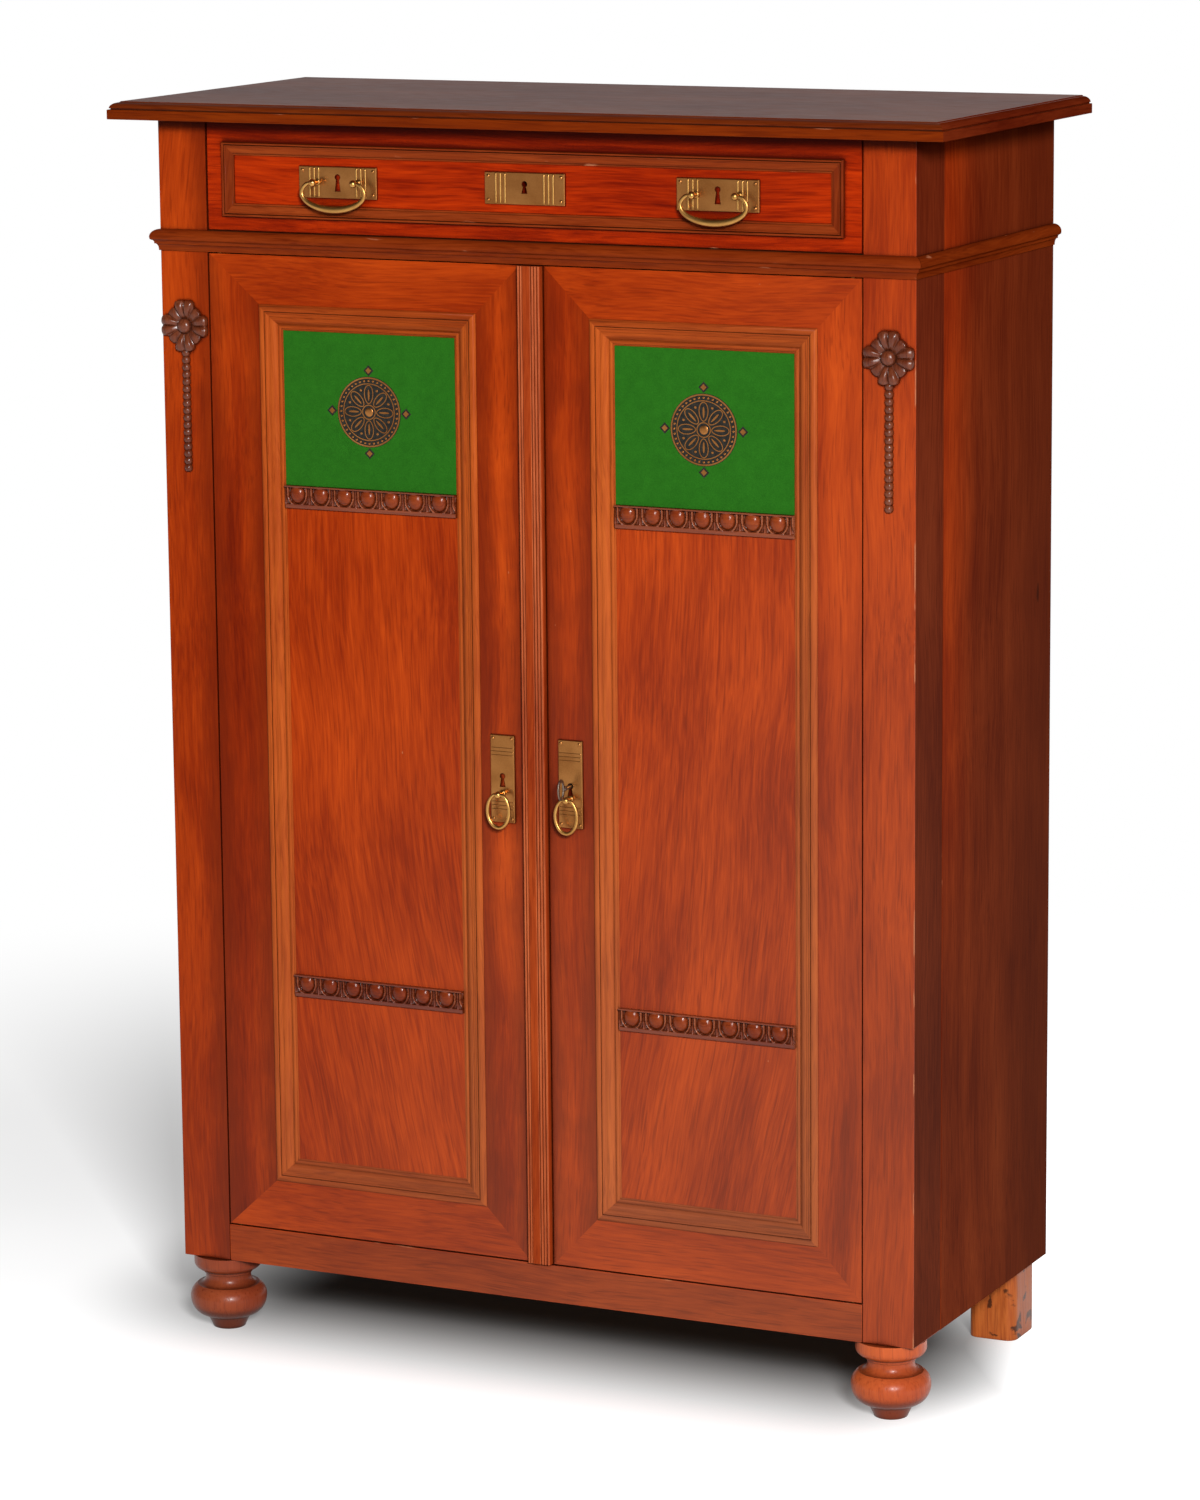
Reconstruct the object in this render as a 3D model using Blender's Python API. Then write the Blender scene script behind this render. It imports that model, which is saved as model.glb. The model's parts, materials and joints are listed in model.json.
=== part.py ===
"""Highboard cabinet: two panelled doors under one wide drawer, on turned bun feet.

Metres, +Z up. The front faces -Y. The origin is on the floor, under the middle of the top board.
"""

from math import acos, asin, cos, pi, sin, sqrt

import bmesh
import bpy
from mathutils import Vector

# Overall sizes
TOTAL_HEIGHT = 1.442
BODY_WIDTH = 0.925
BODY_DEPTH = 0.410
TOP_THICKNESS = 0.020
TOP_SIDE_OVERHANG = 0.045
TOP_FRONT_OVERHANG = 0.036
TOP_OVOLO_INSET = 0.0115
TOP_BAND = 0.011
TOP_QUIRK = 0.0018

# Clearances
GAP = 0.0003
REVEAL = 0.0015
RUNNING_GAP = 0.0008
PIN_CLEARANCE = 0.0004
FRONT_RECESS = 0.001

# Carcass
POST_WIDTH = 0.061
POST_DEPTH = 0.080
SIDE_THICKNESS = 0.020
BACK_THICKNESS = 0.008
PLINTH_HEIGHT = 0.044
PLINTH_THICKNESS = 0.024
FLOOR_THICKNESS = 0.018
DRAWER_OPENING_HEIGHT = 0.125
SHELF_THICKNESS = 0.018
HOUSING_DEPTH = 0.005
SHELF_NAMES = ("lower_shelf", "upper_shelf")
GUIDE_HEIGHT = 0.020

# Mid moulding, which covers the dust board's front edge
BELT_HEIGHT = 0.024
BELT_PROJECTION = 0.0095
BELT_NOSE_HEIGHT = 0.0155

# Feet
FOOT_HEIGHT = 0.090
FOOT_SIDE_INSET = 0.040
FOOT_FRONT_INSET = 0.032
BUN_RADIUS = 0.0450
BUN_MIDDLE = 0.038
COLLAR_RADIUS = 0.0400
COLLAR_DEPTH = 0.0195
NECK_RADIUS = 0.0265
NECK_HEIGHT = 0.063
NECK_FILLET = 0.002
SHOULDER_RADIUS = 0.0365
SHOULDER_HEIGHT = 0.053
SHOULDER_STEP = 0.0012
GROOVE_RADIUS = 0.0265
GROOVE_HEIGHT = 0.0155
GROOVE_WIDTH = 0.0015
BASE_RADIUS = 0.0195
BASE_ROUNDING = 0.002
SPIGOT_RADIUS = 0.010
SPIGOT_LENGTH = 0.024
BLOCK_WIDTH = 0.058
BLOCK_DEPTH = 0.068
BLOCK_ROUNDING = 0.012
BLOCK_SIDE_INSET = 0.013
BLOCK_BACK_INSET = 0.001

# Carved rosettes and bead drops
ROSETTE_DROP = 0.085
ROSETTE_RADIUS = 0.0295
ROSETTE_THICKNESS = 0.009
BEAD_PITCH = 0.00825
BEAD_RADIUS = 0.0044
BEAD_COUNT = 17

# Drawer
DRAWER_FRONT_THICKNESS = 0.020
DRAWER_SIDE_THICKNESS = 0.012
DRAWER_SIDE_HEIGHT = 0.095
DRAWER_BACK_CLEARANCE = 0.017
DRAWER_BOTTOM_THICKNESS = 0.006
DRAWER_BOTTOM_RISE = 0.008
DRAWER_GROOVE_DEPTH = 0.004
DRAWER_FIELD_INSET = 0.0205
DRAWER_FIELD_HEIGHT = 0.0835
DRAWER_MOULDING_WIDTH = 0.0145
DRAWER_MOULDING_THICKNESS = 0.005
PULL_LINE = 0.058
PULL_INSET = 0.14725

# Doors
DOOR_THICKNESS = 0.022
MEETING_X = 0.0205
STRIP_WIDTH = 0.028
STRIP_THICKNESS = 0.008
LEFT_HINGE_STILE = 0.063
RIGHT_HINGE_STILE = 0.052
MEETING_STILE = 0.055
DOOR_TOP_RAIL = 0.0555
DOOR_BOTTOM_RAIL = 0.058
PANEL_RECESS = 0.005
PANEL_THICKNESS = 0.010
PANEL_TONGUE = 0.006
MOULDING_WIDTH = 0.0285
MOULDING_OVERLAP = 0.012
MOULDING_RISE = 0.0035
GREEN_HEIGHT = 0.1755
GREEN_THICKNESS = 0.0015
EGG_RAIL_HEIGHT = 0.026
EGG_RAIL_THICKNESS = 0.009
EGG_PITCH = 0.030
LOWER_RAIL_RISE = 0.1945
PIVOT_FROM_FACE = 0.005
PIVOT_FROM_EDGE = 0.012
PIVOT_PLATE_LENGTH = 0.050
PIVOT_PLATE_WIDTH = 0.008
PIVOT_PLATE_THICKNESS = 0.003
PIVOT_PIN_RADIUS = 0.0027
PIVOT_PIN_LENGTH = 0.012

# Brass fittings
PLATE_LENGTH = 0.098
PLATE_WIDTH = 0.0355
PLATE_THICKNESS = 0.002
DOOR_PLATE_LENGTH = 0.100
DOOR_PLATE_WIDTH = 0.030
DOOR_PLATE_HEIGHT = 0.694
POST_REACH = 0.0115
STEM_RADIUS = 0.0025
STEM_FOOT_RADIUS = 0.00375
STEM_FOOT_HEIGHT = 0.0012
STEM_CHAMFER = 0.0004
BALL_RADIUS = 0.0042
BAIL_POST_SPACING = 0.051
BAIL_HALF_WIDTH = 0.0395
BAIL_DROP = 0.0300
BAIL_END_RADIUS = 0.0016
BAIL_MIDDLE_RADIUS = 0.0034
BAIL_PEG_LENGTH = 0.006
RING_DROP = 0.0165
RING_WIDTH = 0.0270
RING_HEIGHT = 0.0390
RING_WIRE_RADIUS = 0.0018
RING_FLAT = 0.0052

# Locks and key
KEY_DROP = 0.002
KEYHOLE_RADIUS = 0.0030
KEYHOLE_SLOT_WIDTH = 0.0026
KEYHOLE_LENGTH = 0.013
KEY_SHANK_RADIUS = 0.0022
KEY_BOW_REACH = 0.026
KEY_BOW_HALF_HEIGHT = 0.0105
KEY_BOW_HALF_LENGTH = 0.0065
KEY_WIRE_RADIUS = 0.0019
KEY_BIT_LENGTH = 0.007
KEY_BIT_THICKNESS = 0.0024
KEY_BIT_WIDTH = 0.005
KEY_TIP_LENGTH = 0.0005
KEY_POCKET_FLOOR = 0.0025
LOCK_CASE_WIDTH = 0.055
LOCK_CASE_HEIGHT = 0.070
LOCK_CASE_THICKNESS = 0.010
LOCK_WALL = 0.0016
BOLT_HEIGHT = 0.012
BOLT_LENGTH = 0.042
BOLT_THROW = 0.010
LOCK_EDGE_SETBACK = 0.0035
BOLT_ABOVE_KEY = 0.015
DRAWER_BOLT_WIDTH = 0.024
DRAWER_BOLT_THROW = 0.008
DRAWER_CASE_WIDTH = 0.060
DRAWER_CASE_HEIGHT = 0.054
DRAWER_KEYHOLE_RISE = 0.005
TOP_BOLT_WIDTH = 0.012
TOP_BOLT_THICKNESS = 0.006
TOP_BOLT_LENGTH = 0.120
TOP_BOLT_THROW = 0.010
TOP_BOLT_FROM_EDGE = 0.020

# Facets of the round pieces
TURNED_STEPS = 20
TUBE_SIDES = 8
HOLE_SIDES = 16
ROSETTE_STEPS = 32
BEAD_SIDES = 4

# Places that follow from the sizes above
HALF = BODY_WIDTH / 2
FRONT = TOP_FRONT_OVERHANG - (BODY_DEPTH + TOP_FRONT_OVERHANG) / 2
BACK = FRONT + BODY_DEPTH
BODY_TOP = TOTAL_HEIGHT - TOP_THICKNESS
OPENING = HALF - POST_WIDTH
SIDE_INNER = HALF - SIDE_THICKNESS
POST_BACK = FRONT + POST_DEPTH
BACK_INNER = BACK - BACK_THICKNESS
PLINTH_TOP = FOOT_HEIGHT + PLINTH_HEIGHT
DUST_TOP = BODY_TOP - DRAWER_OPENING_HEIGHT
DUST_UNDER = DUST_TOP - BELT_HEIGHT
FACE = FRONT + FRONT_RECESS
POST_MIDDLE = HALF - POST_WIDTH / 2

DOOR_BOTTOM = PLINTH_TOP + REVEAL
DOOR_TOP = DUST_UNDER - REVEAL
DOOR_BACK = FACE + DOOR_THICKNESS
DOOR_EDGE = OPENING - REVEAL
PIN_X = DOOR_EDGE - PIVOT_FROM_EDGE
PIN_Y = FACE + PIVOT_FROM_FACE
LEFT_MEETING = MEETING_X - REVEAL / 2
RIGHT_MEETING = MEETING_X + REVEAL / 2
STRIP_LEFT = LEFT_MEETING - STRIP_WIDTH
FIELD_LOW = DOOR_BOTTOM + DOOR_BOTTOM_RAIL
FIELD_HIGH = DOOR_TOP - DOOR_TOP_RAIL
LEFT_FIELD = (LEFT_HINGE_STILE - DOOR_EDGE, STRIP_LEFT - MEETING_STILE)
RIGHT_FIELD = (RIGHT_MEETING + MEETING_STILE, DOOR_EDGE - RIGHT_HINGE_STILE)
PANEL_FACE = FACE + PANEL_RECESS
LEFT_PLATE_X = STRIP_LEFT - MEETING_STILE / 2
RIGHT_PLATE_X = RIGHT_MEETING + MEETING_STILE / 2
RING_Z = DOOR_PLATE_HEIGHT - RING_DROP
KEY_Z = DOOR_PLATE_HEIGHT - KEY_DROP
LOCK_BOLT_Z = KEY_Z + BOLT_ABOVE_KEY
PLATE_FACE = FACE - GAP - PLATE_THICKNESS
POST_Y = PLATE_FACE - POST_REACH

DRAWER_LOW = DUST_TOP + RUNNING_GAP
DRAWER_HIGH = BODY_TOP - REVEAL
DRAWER_FRONT_BACK = FACE + DRAWER_FRONT_THICKNESS
DRAWER_END = BACK_INNER - DRAWER_BACK_CLEARANCE
DRAWER_EDGE = OPENING - REVEAL
DRAWER_FIELD = DRAWER_EDGE - DRAWER_FIELD_INSET
PULL_X = DRAWER_FIELD - PULL_INSET
PULL_Z = DRAWER_LOW + PULL_LINE
DRAWER_SIDE_LOW = DUST_TOP + GAP
DRAWER_BOTTOM_LOW = DRAWER_SIDE_LOW + DRAWER_BOTTOM_RISE
DRAWER_BOTTOM_TOP = DRAWER_BOTTOM_LOW + DRAWER_BOTTOM_THICKNESS

# Finishes: colour, roughness, metallic
VENEER = ((0.23, 0.055, 0.020), 0.32, 0.0)
DRAWER_VENEER = ((0.30, 0.050, 0.018), 0.30, 0.0)
SIDE_VENEER = ((0.19, 0.050, 0.020), 0.35, 0.0)
MOULDING_WOOD = ((0.20, 0.085, 0.035), 0.38, 0.0)
CARVED_WOOD = ((0.085, 0.035, 0.018), 0.35, 0.0)
BLOCK_WOOD = ((0.36, 0.14, 0.05), 0.50, 0.0)
PINE = ((0.48, 0.30, 0.15), 0.62, 0.0)
GREEN_FELT = ((0.020, 0.150, 0.012), 0.90, 0.0)
BRASS = ((0.42, 0.27, 0.11), 0.36, 1.0)
IRON = ((0.22, 0.21, 0.20), 0.45, 1.0)

PLACES = {}


def principled(name, finish):
    """Material with one Principled BSDF in the given colour, roughness and metallic value."""
    colour, roughness, metallic = finish
    material = bpy.data.materials.new(name)
    material.use_nodes = True
    shader = material.node_tree.nodes["Principled BSDF"]
    shader.inputs["Base Color"].default_value = (*colour, 1.0)
    shader.inputs["Roughness"].default_value = roughness
    shader.inputs["Metallic"].default_value = metallic
    return material


def axis_empty(name, place, carrier=None):
    """Empty on a joint's axis, which carries the pieces that move about it."""
    empty = bpy.data.objects.new(name, None)
    bpy.context.collection.objects.link(empty)
    PLACES[name] = Vector(place)
    empty.location = PLACES[name]
    if carrier:
        empty.parent = carrier
        empty.location = PLACES[name] - PLACES[carrier.name]
    return empty


def linked(name, bm, carrier):
    """Object made from a mesh drawn in world coordinates, carried by an empty."""
    bmesh.ops.recalc_face_normals(bm, faces=bm.faces)
    bmesh.ops.translate(bm, vec=-PLACES[carrier.name], verts=bm.verts)
    mesh = bpy.data.meshes.new(name)
    bm.to_mesh(mesh)
    bm.free()
    obj = bpy.data.objects.new(name, mesh)
    bpy.context.collection.objects.link(obj)
    obj.parent = carrier
    return obj


def piece(name, bm, finish, carrier, smooth=False):
    """One sub-part of the cabinet."""
    obj = linked(name, bm, carrier)
    obj.data.materials.append(principled(name, finish))
    if smooth:
        obj.data.shade_smooth()
        obj.data.set_sharp_from_angle(angle=pi / 5)
    return obj


def combine(target, name, bm, operation):
    """Boolean of a piece with a hidden tool solid."""
    tool = linked(f"{target.name}_{name}", bm, target.parent)
    tool.hide_render = True
    tool.display_type = "WIRE"
    step = target.modifiers.new(name, "BOOLEAN")
    step.operation = operation
    step.object = tool


def cut(target, name, bm):
    """Take a tool solid away from a piece."""
    combine(target, name, bm, "DIFFERENCE")


def join(target, name, bm):
    """Add a tool solid to a piece."""
    combine(target, name, bm, "UNION")


def skin(bm, rings, around=True, along=False):
    """Faces between rings of points; around closes each ring, along closes the row of rings."""
    rings = [[bm.verts.new(point) for point in ring] for ring in rings]
    count = len(rings[0])
    for i in range(len(rings) if along else len(rings) - 1):
        near = rings[i]
        far = rings[(i + 1) % len(rings)]
        for j in range(count if around else count - 1):
            k = (j + 1) % count
            bm.faces.new((near[j], near[k], far[k], far[j]))
    return rings


def lofted(rings):
    """Closed solid through rings of points, with flat ends."""
    bm = bmesh.new()
    rings = skin(bm, rings)
    bm.faces.new(rings[0])
    bm.faces.new(rings[-1])
    return bm


def looped(rings):
    """Closed solid through rings of points that come back to the first."""
    bm = bmesh.new()
    skin(bm, rings, along=True)
    return bm


def slab(low, high):
    """Rectangular board between two corners."""
    bm = bmesh.new()
    low = Vector(low)
    high = Vector(high)
    bmesh.ops.create_cube(bm, size=1.0)
    bmesh.ops.scale(bm, vec=high - low, verts=bm.verts)
    bmesh.ops.translate(bm, vec=(low + high) / 2, verts=bm.verts)
    return bm


def prism(outline, axis, start, end):
    """Flat outline drawn out along one axis; its points are in the two other axes, in X, Y, Z order."""
    rings = []
    for place in (start, end):
        ring = [list(point) for point in outline]
        for point in ring:
            point.insert("XYZ".index(axis), place)
        rings.append(ring)
    return lofted(rings)


def circle(centre, radius, sides, first=0.0):
    """Points round a circle, as pairs."""
    angles = [first + 2 * pi * i / sides for i in range(sides)]
    return [(centre[0] + radius * cos(a), centre[1] + radius * sin(a)) for a in angles]


def rod(centre, radius, axis, start, end, sides=HOLE_SIDES):
    """Round bar or drill along one axis."""
    return prism(circle(centre, radius, sides), axis, start, end)


def turned(profile, axis, centre, steps):
    """Solid turned about an axis; the profile has (radius, place along the axis) points."""
    rings = []
    for radius, place in profile:
        ring = [list(point) for point in circle(centre, radius, steps)]
        for point in ring:
            point.insert("XYZ".index(axis), place)
        rings.append(ring)
    return lofted(rings)


def arc(centre, radii, start, end, steps):
    """Points on an elliptical arc between two angles in turns of pi."""
    angles = [pi * (start + (end - start) * i / steps) for i in range(steps + 1)]
    return [(centre[0] + radii[0] * cos(a), centre[1] + radii[1] * sin(a)) for a in angles]


def rounded_rectangle(low, high, radius):
    """Outline of a rectangle with round corners."""
    points = []
    left, right = low[0] + radius, high[0] - radius
    near, far = low[1] + radius, high[1] - radius
    centres = ((right, far), (left, far), (left, near), (right, near))
    for quarter, centre in enumerate(centres):
        points += arc(centre, (radius, radius), quarter / 2, (quarter + 1) / 2, 4)
    return points


def mitred_frame(low, high, face, profile):
    """Moulding mitred round a rectangle in the front; the profile has (inset, height over face) points."""
    rings = []
    for inset, height in profile:
        left, bottom = low[0] + inset, low[1] + inset
        right, top = high[0] - inset, high[1] - inset
        corners = ((left, bottom), (right, bottom), (right, top), (left, top))
        rings.append([(x, face - height, z) for x, z in corners])
    return looped(rings)


def flat_tube(path, radii, depth, closed):
    """Round wire along a flat path, with a radius at each point; depth points square to its plane."""
    rings = []
    count = len(path)
    depth = Vector(depth)
    angles = [2 * pi * j / TUBE_SIDES for j in range(TUBE_SIDES)]
    for i, (point, radius) in enumerate(zip(path, radii)):
        before = path[i - 1] if closed or i else point
        after = path[(i + 1) % count] if closed or i < count - 1 else point
        across = (Vector(after) - Vector(before)).normalized().cross(depth)
        rings.append([Vector(point) + radius * (cos(a) * across + sin(a) * depth) for a in angles])
    return looped(rings) if closed else lofted(rings)


def notched_board(front, low, high):
    """Board that fills the carcass behind its front line and is notched round the posts."""
    wide = SIDE_INNER - GAP
    narrow = OPENING - GAP
    notch = POST_BACK + GAP
    rear = BACK_INNER - GAP
    outline = [(-narrow, front), (narrow, front), (narrow, notch), (wide, notch)]
    outline += [(wide, rear), (-wide, rear), (-wide, notch), (-narrow, notch)]
    return prism(outline, "Z", low, high)


def shelf_height(index):
    """Underside of a shelf, counted from the floor up; the shelves share the cupboard's height evenly."""
    count = len(SHELF_NAMES)
    clear = DUST_UNDER - PLINTH_TOP - count * SHELF_THICKNESS
    return PLINTH_TOP + (index + 1) * clear / (count + 1) + index * SHELF_THICKNESS


def top_board(carcass):
    """Top with a flat band, a quirk and an ovolo round the front and sides."""
    side = HALF + TOP_SIDE_OVERHANG
    lip = TOP_FRONT_OVERHANG
    ovolo = arc(
        (TOP_OVOLO_INSET, TOP_BAND + TOP_QUIRK / 3),
        (TOP_QUIRK - TOP_OVOLO_INSET, TOP_THICKNESS - TOP_BAND - TOP_QUIRK),
        0.0, 0.46, 5,
    )
    profile = [(0.0, 0.0), (0.0, TOP_BAND), *ovolo, (TOP_OVOLO_INSET, TOP_THICKNESS)]
    rings = []
    for inset, rise in profile:
        x = side - inset
        y = FRONT - lip + inset
        z = BODY_TOP + rise
        rings.append([(-x, y, z), (x, y, z), (x, BACK, z), (-x, BACK, z)])
    board = piece("top_board", lofted(rings), VENEER, carcass)
    reach = DRAWER_BOLT_THROW + RUNNING_GAP
    half = DRAWER_BOLT_WIDTH / 2 + PIN_CLEARANCE
    near, far = drawer_bolt_depth()
    low = (-half, near - PIN_CLEARANCE, BODY_TOP - reach)
    high = (half, far + PIN_CLEARANCE, BODY_TOP + reach)
    cut(board, "mortise", slab(low, high))


def front_posts(carcass):
    """Two broad posts that the doors hang between, each bored for its foot's spigot."""
    for side, sign in (("left", -1), ("right", 1)):
        xs = sorted((sign * OPENING, sign * HALF))
        post = slab((xs[0], FRONT, FOOT_HEIGHT), (xs[1], POST_BACK, BODY_TOP - GAP))
        post = piece(f"{side}_front_post", post, VENEER, carcass)
        centre = (sign * (HALF - FOOT_SIDE_INSET), FRONT + FOOT_FRONT_INSET)
        bore = SPIGOT_RADIUS + PIN_CLEARANCE
        depth = FOOT_HEIGHT + SPIGOT_LENGTH + RUNNING_GAP
        cut(post, "spigot_bore", rod(centre, bore, "Z", FOOT_HEIGHT - SPIGOT_LENGTH, depth))


def side_panels(carcass):
    """Side panels behind the posts, with a housing for each shelf."""
    for side, sign in (("left", -1), ("right", 1)):
        inner = sign * SIDE_INNER
        housed = sign * (SIDE_INNER + HOUSING_DEPTH)
        outline = [(sign * HALF, FOOT_HEIGHT), (sign * HALF, BODY_TOP - GAP), (inner, BODY_TOP - GAP)]
        for index in reversed(range(len(SHELF_NAMES))):
            under = shelf_height(index) - GAP
            over = shelf_height(index) + SHELF_THICKNESS + GAP
            outline += [(inner, over), (housed, over), (housed, under), (inner, under)]
        outline.append((inner, FOOT_HEIGHT))
        piece(f"{side}_side_panel", prism(outline, "Y", POST_BACK + GAP, BACK), SIDE_VENEER, carcass)


def carcass_boards(carcass):
    """Back, floor, dust board, plinth rail and drawer guides."""
    wide = SIDE_INNER - GAP
    back = slab((-wide, BACK_INNER, FOOT_HEIGHT), (wide, BACK, BODY_TOP - GAP))
    piece("back_panel", back, PINE, carcass)
    floor = notched_board(FRONT + PLINTH_THICKNESS + GAP, PLINTH_TOP - FLOOR_THICKNESS, PLINTH_TOP)
    piece("floor_board", floor, PINE, carcass)
    plinth = slab((GAP - OPENING, FRONT, FOOT_HEIGHT), (OPENING - GAP, FRONT + PLINTH_THICKNESS, PLINTH_TOP))
    plinth = piece("plinth_rail", plinth, VENEER, carcass)
    dust = piece("dust_board", notched_board(FRONT, DUST_UNDER, DUST_TOP), PINE, carcass)
    bore = PIVOT_PIN_RADIUS + PIN_CLEARANCE
    reach = PIVOT_PIN_LENGTH + RUNNING_GAP
    for side, sign in (("left", -1), ("right", 1)):
        centre = (sign * PIN_X, PIN_Y)
        cut(plinth, f"{side}_pin_bore", rod(centre, bore, "Z", PLINTH_TOP - reach, PLINTH_TOP + reach))
        cut(dust, f"{side}_pin_bore", rod(centre, bore, "Z", DUST_UNDER - reach, DUST_UNDER + reach))
        xs = sorted((sign * (OPENING - GAP), sign * wide))
        low = (xs[0], POST_BACK + GAP, DUST_TOP + GAP)
        high = (xs[1], BACK_INNER - GAP, DUST_TOP + GUIDE_HEIGHT)
        piece(f"{side}_drawer_guide", slab(low, high), PINE, carcass)
    low, high = top_bolt_box()
    keep = Vector((PIN_CLEARANCE, PIN_CLEARANCE, 0.0))
    throw = TOP_BOLT_THROW + RUNNING_GAP
    low = Vector((low[0], low[1], DUST_UNDER - throw)) - keep
    high = Vector((high[0], high[1], DUST_UNDER + throw)) + keep
    cut(dust, "bolt_mortise", slab(low, high))


def shelves(carcass):
    """Shelves held in the side panels' housings."""
    reach = SIDE_INNER + HOUSING_DEPTH - GAP
    for index, name in enumerate(SHELF_NAMES):
        under = shelf_height(index)
        low = (-reach, POST_BACK + GAP, under)
        high = (reach, BACK_INNER - GAP, under + SHELF_THICKNESS)
        piece(name, slab(low, high), PINE, carcass)


def belt_profile():
    """Mid moulding as (projection, height) points: stepped cove, nose, quarter round and flat back."""
    out = BELT_PROJECTION
    nose = BELT_NOSE_HEIGHT
    cove = [(out * 0.16, 0.0), (out * 0.26, nose * 0.26), (out * 0.46, nose * 0.50)]
    cove += [(out * 0.56, nose * 0.56), (out * 0.74, nose * 0.74), (out * 0.86, nose * 0.78)]
    crown = arc((GAP, nose), (out - GAP, BELT_HEIGHT - nose), 0.0, 0.45, 5)
    return [(GAP, 0.0), *cove, (out, nose * 0.90), *crown, (GAP, BELT_HEIGHT)]


def mid_mouldings(carcass):
    """Moulding under the drawer: one length in front and one on each side, mitred at the corners."""
    ends = []
    for sign in (-1, 1):
        reach = HALF - GAP
        ends.append([(sign * (reach + out), FRONT - out, DUST_UNDER + rise) for out, rise in belt_profile()])
    piece("mid_moulding_front", lofted(ends), MOULDING_WOOD, carcass)
    for side, sign in (("left", -1), ("right", 1)):
        corner = []
        rear = []
        for out, rise in belt_profile():
            corner.append((sign * (HALF + out), FRONT - out + GAP, DUST_UNDER + rise))
            rear.append((sign * (HALF + out), BACK, DUST_UNDER + rise))
        piece(f"mid_moulding_{side}", lofted([corner, rear]), MOULDING_WOOD, carcass)


def bun_profile():
    """Turned foot from the floor up as (radius, height) points: base, bun, hollow neck, collar and spigot."""
    base = [(BASE_RADIUS - BASE_ROUNDING, 0.0), (BASE_RADIUS, BASE_ROUNDING)]
    base.append((GROOVE_RADIUS, GROOVE_HEIGHT - GROOVE_WIDTH))
    low = arc(
        (GROOVE_RADIUS, BUN_MIDDLE),
        (BUN_RADIUS - GROOVE_RADIUS, BUN_MIDDLE - GROOVE_HEIGHT),
        -0.45, 0.0, 5,
    )
    turn = acos((SHOULDER_RADIUS - GROOVE_RADIUS) / (BUN_RADIUS - GROOVE_RADIUS))
    high = arc(
        (GROOVE_RADIUS, BUN_MIDDLE),
        (BUN_RADIUS - GROOVE_RADIUS, (SHOULDER_HEIGHT - BUN_MIDDLE) / sin(turn)),
        0.25 * turn / pi, turn / pi, 3,
    )
    cove = SHOULDER_RADIUS - SHOULDER_STEP
    hollow = arc(
        (cove, NECK_HEIGHT),
        (cove - NECK_RADIUS, NECK_HEIGHT - SHOULDER_HEIGHT),
        1.48, 1.0, 4,
    )
    ring = NECK_RADIUS + NECK_FILLET
    crown = arc(
        (ring, FOOT_HEIGHT - COLLAR_DEPTH / 2),
        (COLLAR_RADIUS - ring, COLLAR_DEPTH / 2),
        -0.46, 0.0, 4,
    )
    under = FOOT_HEIGHT - GAP
    spigot = [(COLLAR_RADIUS, under), (SPIGOT_RADIUS, under), (SPIGOT_RADIUS, FOOT_HEIGHT + SPIGOT_LENGTH)]
    return [*base, *low, *high, *hollow, *crown, *spigot]


def feet(carcass):
    """Turned bun feet in front and plain blocks behind, each block stepped up to the floor board."""
    for side, sign in (("left", -1), ("right", 1)):
        centre = (sign * (HALF - FOOT_SIDE_INSET), FRONT + FOOT_FRONT_INSET)
        bun = turned(bun_profile(), "Z", centre, TURNED_STEPS)
        piece(f"{side}_front_foot", bun, VENEER, carcass, smooth=True)
        outer = HALF - BLOCK_SIDE_INSET
        inner = outer - BLOCK_WIDTH
        rear = BACK - BLOCK_BACK_INSET
        plan = rounded_rectangle((inner, rear - BLOCK_DEPTH), (outer, rear), BLOCK_ROUNDING)
        plan = [(sign * x, y) for x, y in plan]
        block = prism(plan, "Z", 0.0, FOOT_HEIGHT - GAP)
        block = piece(f"{side}_rear_foot", block, BLOCK_WOOD, carcass)
        xs = sorted((sign * (inner + BLOCK_ROUNDING), sign * (SIDE_INNER - GAP)))
        ys = (rear - BLOCK_DEPTH + BLOCK_ROUNDING, rear - BLOCK_ROUNDING)
        top = PLINTH_TOP - FLOOR_THICKNESS - GAP
        join(block, "tenon", slab((xs[0], ys[0], FOOT_HEIGHT - BLOCK_ROUNDING), (xs[1], ys[1], top)))


def rosette_solid(centre):
    """Carved flower: boss, hollow and four long petals between four short ones, flat behind."""
    face = FRONT - GAP
    x, z = centre
    petals = ((1.0, 0.0), (1.0, 0.28), (0.74, 0.72), (0.50, 0.62))
    boss = ((0.30, 0.42), (0.22, 0.90), (0.10, 1.0))
    rings = []
    for share, rise in (*petals, *boss):
        ring = []
        for i in range(ROSETTE_STEPS):
            angle = 2 * pi * i / ROSETTE_STEPS
            petal = 0.86 + 0.06 * cos(4 * angle) + 0.08 * cos(8 * angle)
            radius = ROSETTE_RADIUS * share * (petal if (share, rise) in petals else 1.0)
            ring.append((x + radius * cos(angle), face - rise * ROSETTE_THICKNESS, z + radius * sin(angle)))
        rings.append(ring)
    return lofted(rings)


def bead_drop_solid(x, top):
    """String of half-round beads that hangs from the rosette's lower petal."""
    face = FRONT - GAP
    rings = []
    for bead in range(BEAD_COUNT):
        for share, swell in ((0.0, 0.5), (0.3, 1.0), (0.7, 1.0)):
            rings.append((bead + share, swell))
    rings.append((BEAD_COUNT, 0.5))
    loops = []
    for place, swell in rings:
        angles = [pi * i / BEAD_SIDES for i in range(BEAD_SIDES + 1)]
        radius = BEAD_RADIUS * swell
        z = top - place * BEAD_PITCH
        loops.append([(x + radius * cos(a), face - radius * sin(a), z) for a in angles])
    return lofted(loops)


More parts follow.
